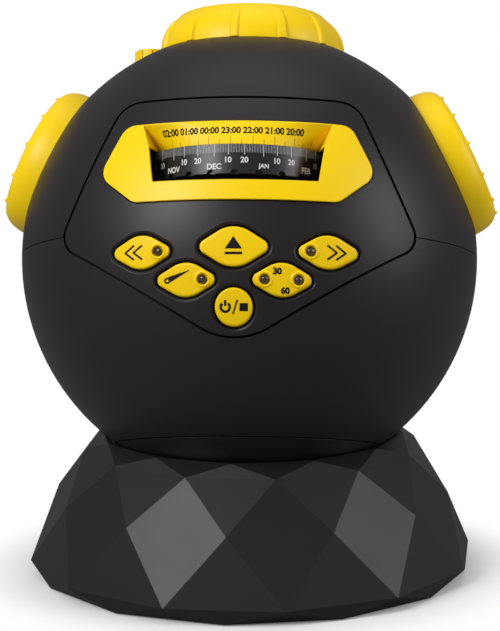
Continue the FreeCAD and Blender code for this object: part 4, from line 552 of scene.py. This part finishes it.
def rounded_outline(corners, radii, count):
    """Closed outline of straight runs and corner arcs: evenly spaced points and their outward directions.

    Each corner is cut back by its radius times the tangent of half its turn; runs join one cut to the next.
    """
    corners = np.asarray(corners, float)
    number = len(corners)
    ways = np.roll(corners, -1, 0) - corners
    ways /= np.linalg.norm(ways, axis=1)[:, None]
    pieces = []
    for i in range(number):
        before = ways[i - 1]
        after = ways[i]
        turn = math.acos(np.clip(before @ after, -1, 1))
        trim = radii[i] * math.tan(turn / 2)
        start = corners[i] - before * trim
        side = np.array([before[1], -before[0]])
        middle = start - side * radii[i]
        pieces.append(("arc", middle, math.atan2(side[1], side[0]), radii[i], radii[i] * turn))
        following = (i + 1) % number
        next_turn = math.acos(np.clip(ways[i] @ ways[following], -1, 1))
        end = corners[following] - after * radii[following] * math.tan(next_turn / 2)
        begin = corners[i] + after * trim
        pieces.append(("run", begin, after, None, np.linalg.norm(end - begin)))
    lengths = np.array([piece[-1] for piece in pieces])
    ends = np.cumsum(lengths)
    walk = np.arange(count) * ends[-1] / count
    which = np.searchsorted(ends, walk, side="right")
    points = np.zeros((count, 2))
    outward = np.zeros((count, 2))
    for i, (kind, origin, way, radius, length) in enumerate(pieces):
        here = which == i
        along = walk[here] - (ends[i] - length)
        if kind == "arc":
            angle = way + along / radius
            outward[here] = np.stack([np.cos(angle), np.sin(angle)], -1)
            points[here] = origin + radius * outward[here]
        else:
            outward[here] = (way[1], -way[0])
            points[here] = origin + along[:, None] * way
    return points, outward


def on_ball(across, level, reach):
    """Points of the ball's front at a reach from its centre, seen from the front at (across, level)."""
    return np.stack([across, -np.sqrt(reach ** 2 - across ** 2 - level ** 2), level], -1)


def weld(piece, sharp=None, closed=True):
    """Joins doubled corners, as at poles, turns a closed surface outwards and marks its sharp edges."""
    form = bmesh.new()
    form.from_mesh(piece.data)
    bmesh.ops.remove_doubles(form, verts=form.verts, dist=1e-7)
    if closed and form.calc_volume(signed=True) < 0:
        bmesh.ops.reverse_faces(form, faces=form.faces)
    form.to_mesh(piece.data)
    form.free()
    if sharp:
        piece.data.shade_smooth()
        piece.data.set_sharp_from_angle(angle=math.radians(sharp))
    return piece


def smooth_step(low, high, value):
    """Soft change from 0 at low to 1 at high."""
    share = np.clip((value - low) / (high - low), 0, 1)
    return share * share * (3 - 2 * share)


def key_cap(name, outline, x, z, lamps):
    """Cap of one key: a flat back, a straight side, a quarter-round edge and a face that follows the ball.

    Near a lamp the face rises to a low ring and then dips steeply to the lamp's hole.
    """
    count = 320 if lamps else 160
    rings = 76 if lamps else 24
    edge, outward = rounded_outline(*outline, count)
    quarter = np.linspace(0, math.pi / 2, edge_rows)
    inset = np.concatenate([[0.0, 0.0], key_edge * (1 - np.cos(quarter)), np.full(rings, key_edge)])
    depth = np.concatenate([[key_deep, key_deep], key_edge * (1 - np.sin(quarter)), np.zeros(rings)])
    share = np.concatenate([[0.0], np.ones(edge_rows + 1), 1 - np.linspace(0, 1, rings + 1)[1:]])
    flat = (edge[None] - outward[None] * inset[:, None, None]) * share[:, None, None]
    drop = np.broadcast_to(depth[:, None], flat.shape[:2]).copy()
    front = np.arange(len(share))[:, None] > 1
    for lamp in lamps:
        away = np.hypot(flat[..., 0] - lamp, flat[..., 1])
        ring = eye_rise * np.exp(-((away - eye_ring) / eye_soft) ** 2)
        hole = hole_deep * (1 - smooth_step(hole_floor, hole_mouth, away))
        drop += np.where(front, hole - ring, 0.0)
    points = on_ball(flat[..., 0] + x, flat[..., 1] + z, key_reach - drop)
    piece = weld(grid_mesh(name + "_cap", ball_place(points), wrap_columns=True), sharp=60)
    piece.data.materials.append(key_yellow)
    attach(piece, "button_" + name[4:])
    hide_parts(name)
    finish(key_yellow, name)


def key_rim(name, outline, x, z):
    """Dished rim of a key's well: from level with the panel, over a soft shoulder and down into the gap, its
    inner rows in painted shade.
    """
    edge, outward = rounded_outline(*outline, rim_points)
    flat = edge[None] + outward[None] * rim_out[:, None, None]
    reach = ball_radius - np.repeat(rim_deep[:, None], rim_points, 1)
    points = on_ball(flat[..., 0] + x, flat[..., 1] + z, reach)
    rim = grid_mesh(name + "_rim", ball_place(points), wrap_columns=True)
    rim.data.materials.append(ball_plastic)
    rim.data.materials.append(painted_gap_shade)
    # Painted shade: the rim's inner rows get the near-black shade colour in place of the panel's plastic.
    painted_shade_faces = np.zeros((len(rim_out) - 1, rim_points), np.int32)
    painted_shade_faces[first_painted_shade_row:] = 1
    rim.data.polygons.foreach_set("material_index", painted_shade_faces.ravel())
    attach(rim, "ball")


key_yellow = moulded("key_yellow", (0.98, 0.65, 0.0), rough=0.36, grain_size=0.0005,
                     grain_depth=0.000003, edge=0.0, specular=0.28)
# Painted shade: a near-black matte colour on the inner slope and gap of each key's well, standing in for the
# shade deep inside it.
painted_gap_shade = ink("painted_gap_shade", (0.002, 0.0018, 0.0018), 0.8, 0.1)
for key in keys:
    key_cap(*key)
    key_rim(*key[:4])


# Key lamps: five domes of brown-tinted resin that stand still in the eyes of the keys.
# They are soldered on the key board, and the keys slide past them.
lamp_reach = 1.42
lamp_rise = 1.25
lamp_sink = 1.0
lamp_stem = 2.0
lamp_rows = 14
lamp_columns = 40
lamp_tint = ink("lamp_tint", (0.045, 0.028, 0.018), 0.14)
resin = lamp_tint.node_tree.nodes["Principled BSDF"]
resin.inputs["Coat Weight"].default_value = 0.6
resin.inputs["Coat Roughness"].default_value = 0.05
lamp_spots = [(x + lamp, z) for name, outline, x, z, lamps in keys for lamp in lamps]
tilt = np.concatenate([np.linspace(0, math.pi / 2, lamp_rows), [math.pi / 2]])[:, None]
turn = np.arange(lamp_columns)[None] * 2 * math.pi / lamp_columns
stem = np.concatenate([np.zeros(lamp_rows), [lamp_stem]])[:, None]
flat = np.stack([lamp_reach * np.sin(tilt) * np.cos(turn), lamp_reach * np.sin(tilt) * np.sin(turn)], -1)
rise = lamp_rise * np.cos(tilt) - lamp_sink - stem + 0 * turn
domes = []
for place, (x, z) in enumerate(lamp_spots):
    points = on_ball(flat[..., 0] + x, flat[..., 1] + z, key_reach + rise)
    dome = grid_mesh("lamp_dome_" + str(place + 1), ball_place(points), wrap_columns=True)
    domes.append(weld(dome, closed=False))
    domes[-1].data.materials.append(lamp_tint)
    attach(domes[-1], "ball")
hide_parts("key_lamps")
finish(lamp_tint, "key_lamps")


# Signs on the keys, pad-printed in black on the finished caps.
# They are: step back, step on, open, comet, timer with its two times, and power.
sign_lift = 0.08
arc_points = 40
taper_points = 10
timer_high = 2.25
timer_bold = 0.05


def polygon(*corners):
    """Flat printed shape with these corners."""
    return np.array(corners, float), [tuple(range(len(corners)))]


def arc(x, z, inner, outer, start, end, count=arc_points):
    """Flat printed band between two radii round a point, from one angle to another in degrees."""
    angle = np.radians(np.linspace(start, end, count))
    ring = np.stack([np.cos(angle), np.sin(angle)], -1)
    corners = np.concatenate([ring * inner, ring * outer]) + (x, z)
    return corners, [(i, i + count, i + count + 1, i + 1) for i in range(count - 1)]


def taper(x0, z0, half0, x1, z1, half1):
    """Flat printed wedge between two points, its half width changing evenly, cut across into short pieces."""
    share = np.linspace(0, 1, taper_points)[:, None]
    run = np.array([x1 - x0, z1 - z0])
    side = np.array([-run[1], run[0]]) / np.hypot(*run)
    middle = np.array([x0, z0]) + run * share
    half = half0 + (half1 - half0) * share
    corners = np.concatenate([middle - side * half, middle + side * half])
    faces = [(i, i + 1, i + taper_points + 1, i + taper_points) for i in range(taper_points - 1)]
    return corners, faces


def moved(patch, x, z):
    """A patch shifted sideways and up."""
    return patch[0] + (x, z), patch[1]


def on_key(patch, x, z):
    """Lays a flat patch on the face of a key whose middle is seen at (x, z) from the front."""
    return on_ball(patch[0][:, 0] + x, patch[0][:, 1] + z, key_reach + sign_lift), patch[1]


def chevrons(side):
    """Two open arrows, one behind the other, that point to a side; a dot rounds the tip of each."""
    stroke = 0.62
    tip = (2.8, -0.1)
    back = -0.2
    strokes = []
    for shift in (0.0, 2.8):
        for level in (2.2, -2.4):
            strokes.append(bar(side * (tip[0] + shift), tip[1], side * (back + shift), level, stroke))
        strokes.append(arc(side * (tip[0] + shift), tip[1], 0.0, stroke / 2, 0, 360, 13))
    return strokes


signs = {
    "key_back": chevrons(-1),
    "key_next": chevrons(1),
    "key_eject": [polygon((-2.8, -0.8), (2.8, -0.8), (0, 3.25)), bar(-2.8, -2.2, 2.8, -2.2, 0.85)],
    "key_comet": [arc(-6.1, -0.25, 0.45, 1.02, 0, 360), taper(-5.35, 0.12, 0.92, 1.1, 2.85, 0.08)],
    "key_timer": [moved(letters("30", timer_high, timer_bold), -1.4, 2.7),
                  moved(letters("60", timer_high, timer_bold), 1.1, -3.4)],
    "key_power": [arc(-2.7, -0.1, 1.05, 1.85, 128, 412), bar(-2.7, 0.2, -2.7, 2.1, 0.75),
                  bar(-0.25, -2.3, 1.25, 2.2, 0.5), bar(1.9, -0.1, 4.6, -0.1, 2.5)],
}
for name, outline, x, z, lamps in keys:
    patches = [on_key(patch, x, z) for patch in signs[name]]
    printed(name + "_sign", patches, "button_" + name[4:], black_ink)


# Focus ring on top: a yellow dome moulded with twelve ribs, round the projection lens.
# Its sleeve turns in the mount and moves the lens barrel. Its side is part of an oval, cut off at the crown.
ring_foot = 72.9
ring_top = 86.4
ring_heart = 20.5
ring_wide = 11.7
ring_high = 14.0
ring_wall = 1.8
ring_mouth = 17.6
mouth_edge = 0.3
mouth_deep = 2.0
crown_out = 25.9
ring_cut = math.radians(56.3)
ring_points = 900
rib_count = 12
rib_first = math.radians(-7.0)
rib_half = 1.35
rib_soft = 0.35
rib_rise = 1.1
rib_fade = 0.75
pitch = 2 * math.pi / rib_count
climb = np.linspace(0, ring_cut, 16)
fall = np.linspace(ring_cut, 0, 8)
side = np.stack([ring_heart + ring_wide * np.cos(climb), ring_foot + ring_high * np.sin(climb)], -1)
wall = np.stack([ring_heart + (ring_wide - ring_wall) * np.cos(fall),
                 ring_foot + (ring_high - ring_wall) * np.sin(fall)], -1)
crown = [(crown_out, ring_top - 0.45), (crown_out - 0.6, ring_top - 0.12), (crown_out - 1.2, ring_top),
         (ring_mouth + mouth_edge, ring_top), (ring_mouth, ring_top - mouth_edge),
         (ring_mouth, ring_top - mouth_deep)]
profile = np.concatenate([side, crown, wall])
ribbed = np.concatenate([1 - rib_fade * (climb / ring_cut) ** 2, np.zeros(len(crown) + len(wall))])
turn = np.arange(ring_points) * 2 * math.pi / ring_points
nearest = np.abs((turn - rib_first + pitch / 2) % pitch - pitch / 2)
rib = 1 - smooth_step(rib_half - rib_soft, rib_half + rib_soft, nearest[None] * profile[:, :1])
reach = profile[:, :1] + rib_rise * ribbed[:, None] * rib
level = np.broadcast_to(profile[:, 1:], reach.shape)
points = np.stack([reach * np.sin(turn), -reach * np.cos(turn), level], -1)
ring = weld(grid_mesh("focus_ring_dome", ball_place(points), True, True), sharp=40)
ring.data.materials.append(yellow)
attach(ring, "focus")
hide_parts("focus_ring")
finish(yellow, "focus_ring")


# Pods: a domed yellow ring on either side, its crown set with twelve soft knobs, fixed in the upper shell.
# Each holds a pierced grille with a small speaker behind it. Its side is a squarish quarter of an oval.
pod_lift = math.radians(26.1)
pod_heart = 20.8
pod_wide = 6.1
pod_low = 74.6
pod_deep = 10.5
pod_power = 0.77
pod_points = 720
knob_count = 12
knob_out = 22.9
knob_level = 84.8
knob_rise = 0.75
knob_flat = 0.3
knob_edge = 0.95
knob_wider = 0.4
knob_higher = 0.9
knob_pitch = 2 * math.pi / knob_count
pod_climb = np.linspace(0, 1, 60) * math.radians(88)
pod_side = np.stack([pod_heart + pod_wide * np.cos(pod_climb) ** pod_power,
                     pod_low + pod_deep * np.sin(pod_climb) ** pod_power], -1)
pod_mouth = [(19.4, 85.1), (19.0, 84.7), (19.0, 82.6), (16.8, 82.6), (16.8, 76.2), (24.6, 76.2),
             (24.6, pod_low)]
pod_profile = np.concatenate([pod_side, pod_mouth])
pod_turn = np.arange(pod_points) * 2 * math.pi / pod_points
beside = np.abs((pod_turn + knob_pitch / 2) % knob_pitch - knob_pitch / 2) * knob_out
along = np.hypot(pod_profile[:, 0] - knob_out, pod_profile[:, 1] - knob_level)
knob = knob_rise * (1 - smooth_step(knob_flat, knob_edge, np.hypot(beside[None], along[:, None])))
knob[len(pod_side):] = 0
pod_reach = pod_profile[:, :1] + knob_wider * knob
pod_out = pod_profile[:, 1:] + knob_higher * knob
for name, side in (("left_pod", -1), ("right_pod", 1)):
    axis = np.array([side * math.cos(pod_lift), 0, math.sin(pod_lift)])
    upward = np.array([-side * math.sin(pod_lift), 0, math.cos(pod_lift)])
    back = np.array([0, 1.0, 0])
    round_way = np.cos(pod_turn)[:, None] * upward + np.sin(pod_turn)[:, None] * back
    points = pod_out[..., None] * axis + pod_reach[..., None] * round_way[None]
    pod = weld(grid_mesh(name + "_dome", ball_place(points), True, True), sharp=40)
    pod.data.materials.append(yellow)
    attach(pod, "ball")
    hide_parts(name)
    finish(yellow, name)
grille_plastic = moulded("grille_plastic", (0.012, 0.012, 0.012), rough=0.5, grain_size=0.0005,
                         edge=0.0002, specular=0.4)
finish(grille_plastic, "left_grille", "right_grille")
speaker_paper = moulded("speaker_paper", (0.05, 0.05, 0.052), rough=0.7, grain_size=0.0003,
                        grain_depth=0.00002, edge=0.0, specular=0.3)
finish(speaker_paper, "left_speaker", "right_speaker")


# Turret behind the focus ring: a small yellow projector for shooting stars.
# Its collar is fixed in the upper shell, and its ribbed ring turns on the collar.
turret_sharp = 32
round_copy("meteor_collar", "ball", yellow, (), turret_sharp)
round_copy("meteor_ring", "meteor", yellow, (), turret_sharp)


# Lenses: clear polished glass with a faint green tint and a trace of dust.
# They are held in the barrel, the condenser holder and the turret's tube.
glass, tree, shader = new_material("lens_glass")
shader.inputs["Base Color"].default_value = (0.94, 0.98, 0.96, 1)
shader.inputs["Transmission Weight"].default_value = 1.0
shader.inputs["IOR"].default_value = 1.49
tree.links.new(between(tree, noise(tree, 160.0), 0.0, 0.04), shader.inputs["Roughness"])
finish(glass, "condenser_lens", "front_lens", "rear_lens", "meteor_lens")


# Inside: black mouldings for frame, tray, lens mount and barrel; white lamps; a metal heat sink and motor.
# The circuit boards are green, with black parts, and the star film is dark with clear stars.
inner_plastic = moulded("inner_plastic", (0.016, 0.016, 0.017), rough=0.5, grain_size=0.0006, specular=0.4)
finish(inner_plastic, "chassis", "drawer_tray", "condenser_holder", "lens_mount", "lens_barrel",
       "lens_retainer", "meteor_tube", "star_disc")
lamp_plastic = moulded("lamp_plastic", (0.85, 0.82, 0.62), rough=0.25, grain_size=0.0005,
                       grain_depth=0.0, edge=0.0)
finish(lamp_plastic, "lamp_led", "meteor_lamp")
finish(steel, "heat_sink", "drawer_motor")
spot_reach = 0.10
spot_edge = 0.14


def speckled(name, dark, light, size, rough):
    """Dark ground with a small light spot in the middle of each cell, over an even gloss. Size in metres."""
    material, tree, shader = new_material(name)
    where = tree.nodes.new("ShaderNodeTexCoord")
    cells = tree.nodes.new("ShaderNodeTexVoronoi")
    cells.inputs["Scale"].default_value = 1 / size
    tones = tree.nodes.new("ShaderNodeMix")
    tones.data_type = "RGBA"
    tones.inputs["A"].default_value = (*dark, 1)
    tones.inputs["B"].default_value = (*light, 1)
    spot = tree.nodes.new("ShaderNodeMapRange")
    spot.inputs["From Min"].default_value = spot_reach
    spot.inputs["From Max"].default_value = spot_edge
    spot.inputs["To Min"].default_value = 1.0
    spot.inputs["To Max"].default_value = 0.0
    tree.links.new(where.outputs["Object"], cells.inputs["Vector"])
    tree.links.new(cells.outputs["Distance"], spot.inputs["Value"])
    tree.links.new(spot.outputs["Result"], tones.inputs["Factor"])
    tree.links.new(tones.outputs["Result"], shader.inputs["Base Color"])
    shader.inputs["Roughness"].default_value = rough
    return material


board_green = speckled("board_green", (0.006, 0.075, 0.022), (0.03, 0.16, 0.05), size=0.0022, rough=0.35)
finish(board_green, "lamp_board", "main_board", "key_board")
chip_black = moulded("chip_black", (0.02, 0.02, 0.021), rough=0.45, edge=0.0001)
finish(chip_black, "board_parts", "key_switches", "power_inlet", "sound_socket")
star_print = speckled("star_print", (0.004, 0.005, 0.012), (0.85, 0.87, 0.9), size=0.0016, rough=0.2)
finish(star_print, "star_film")
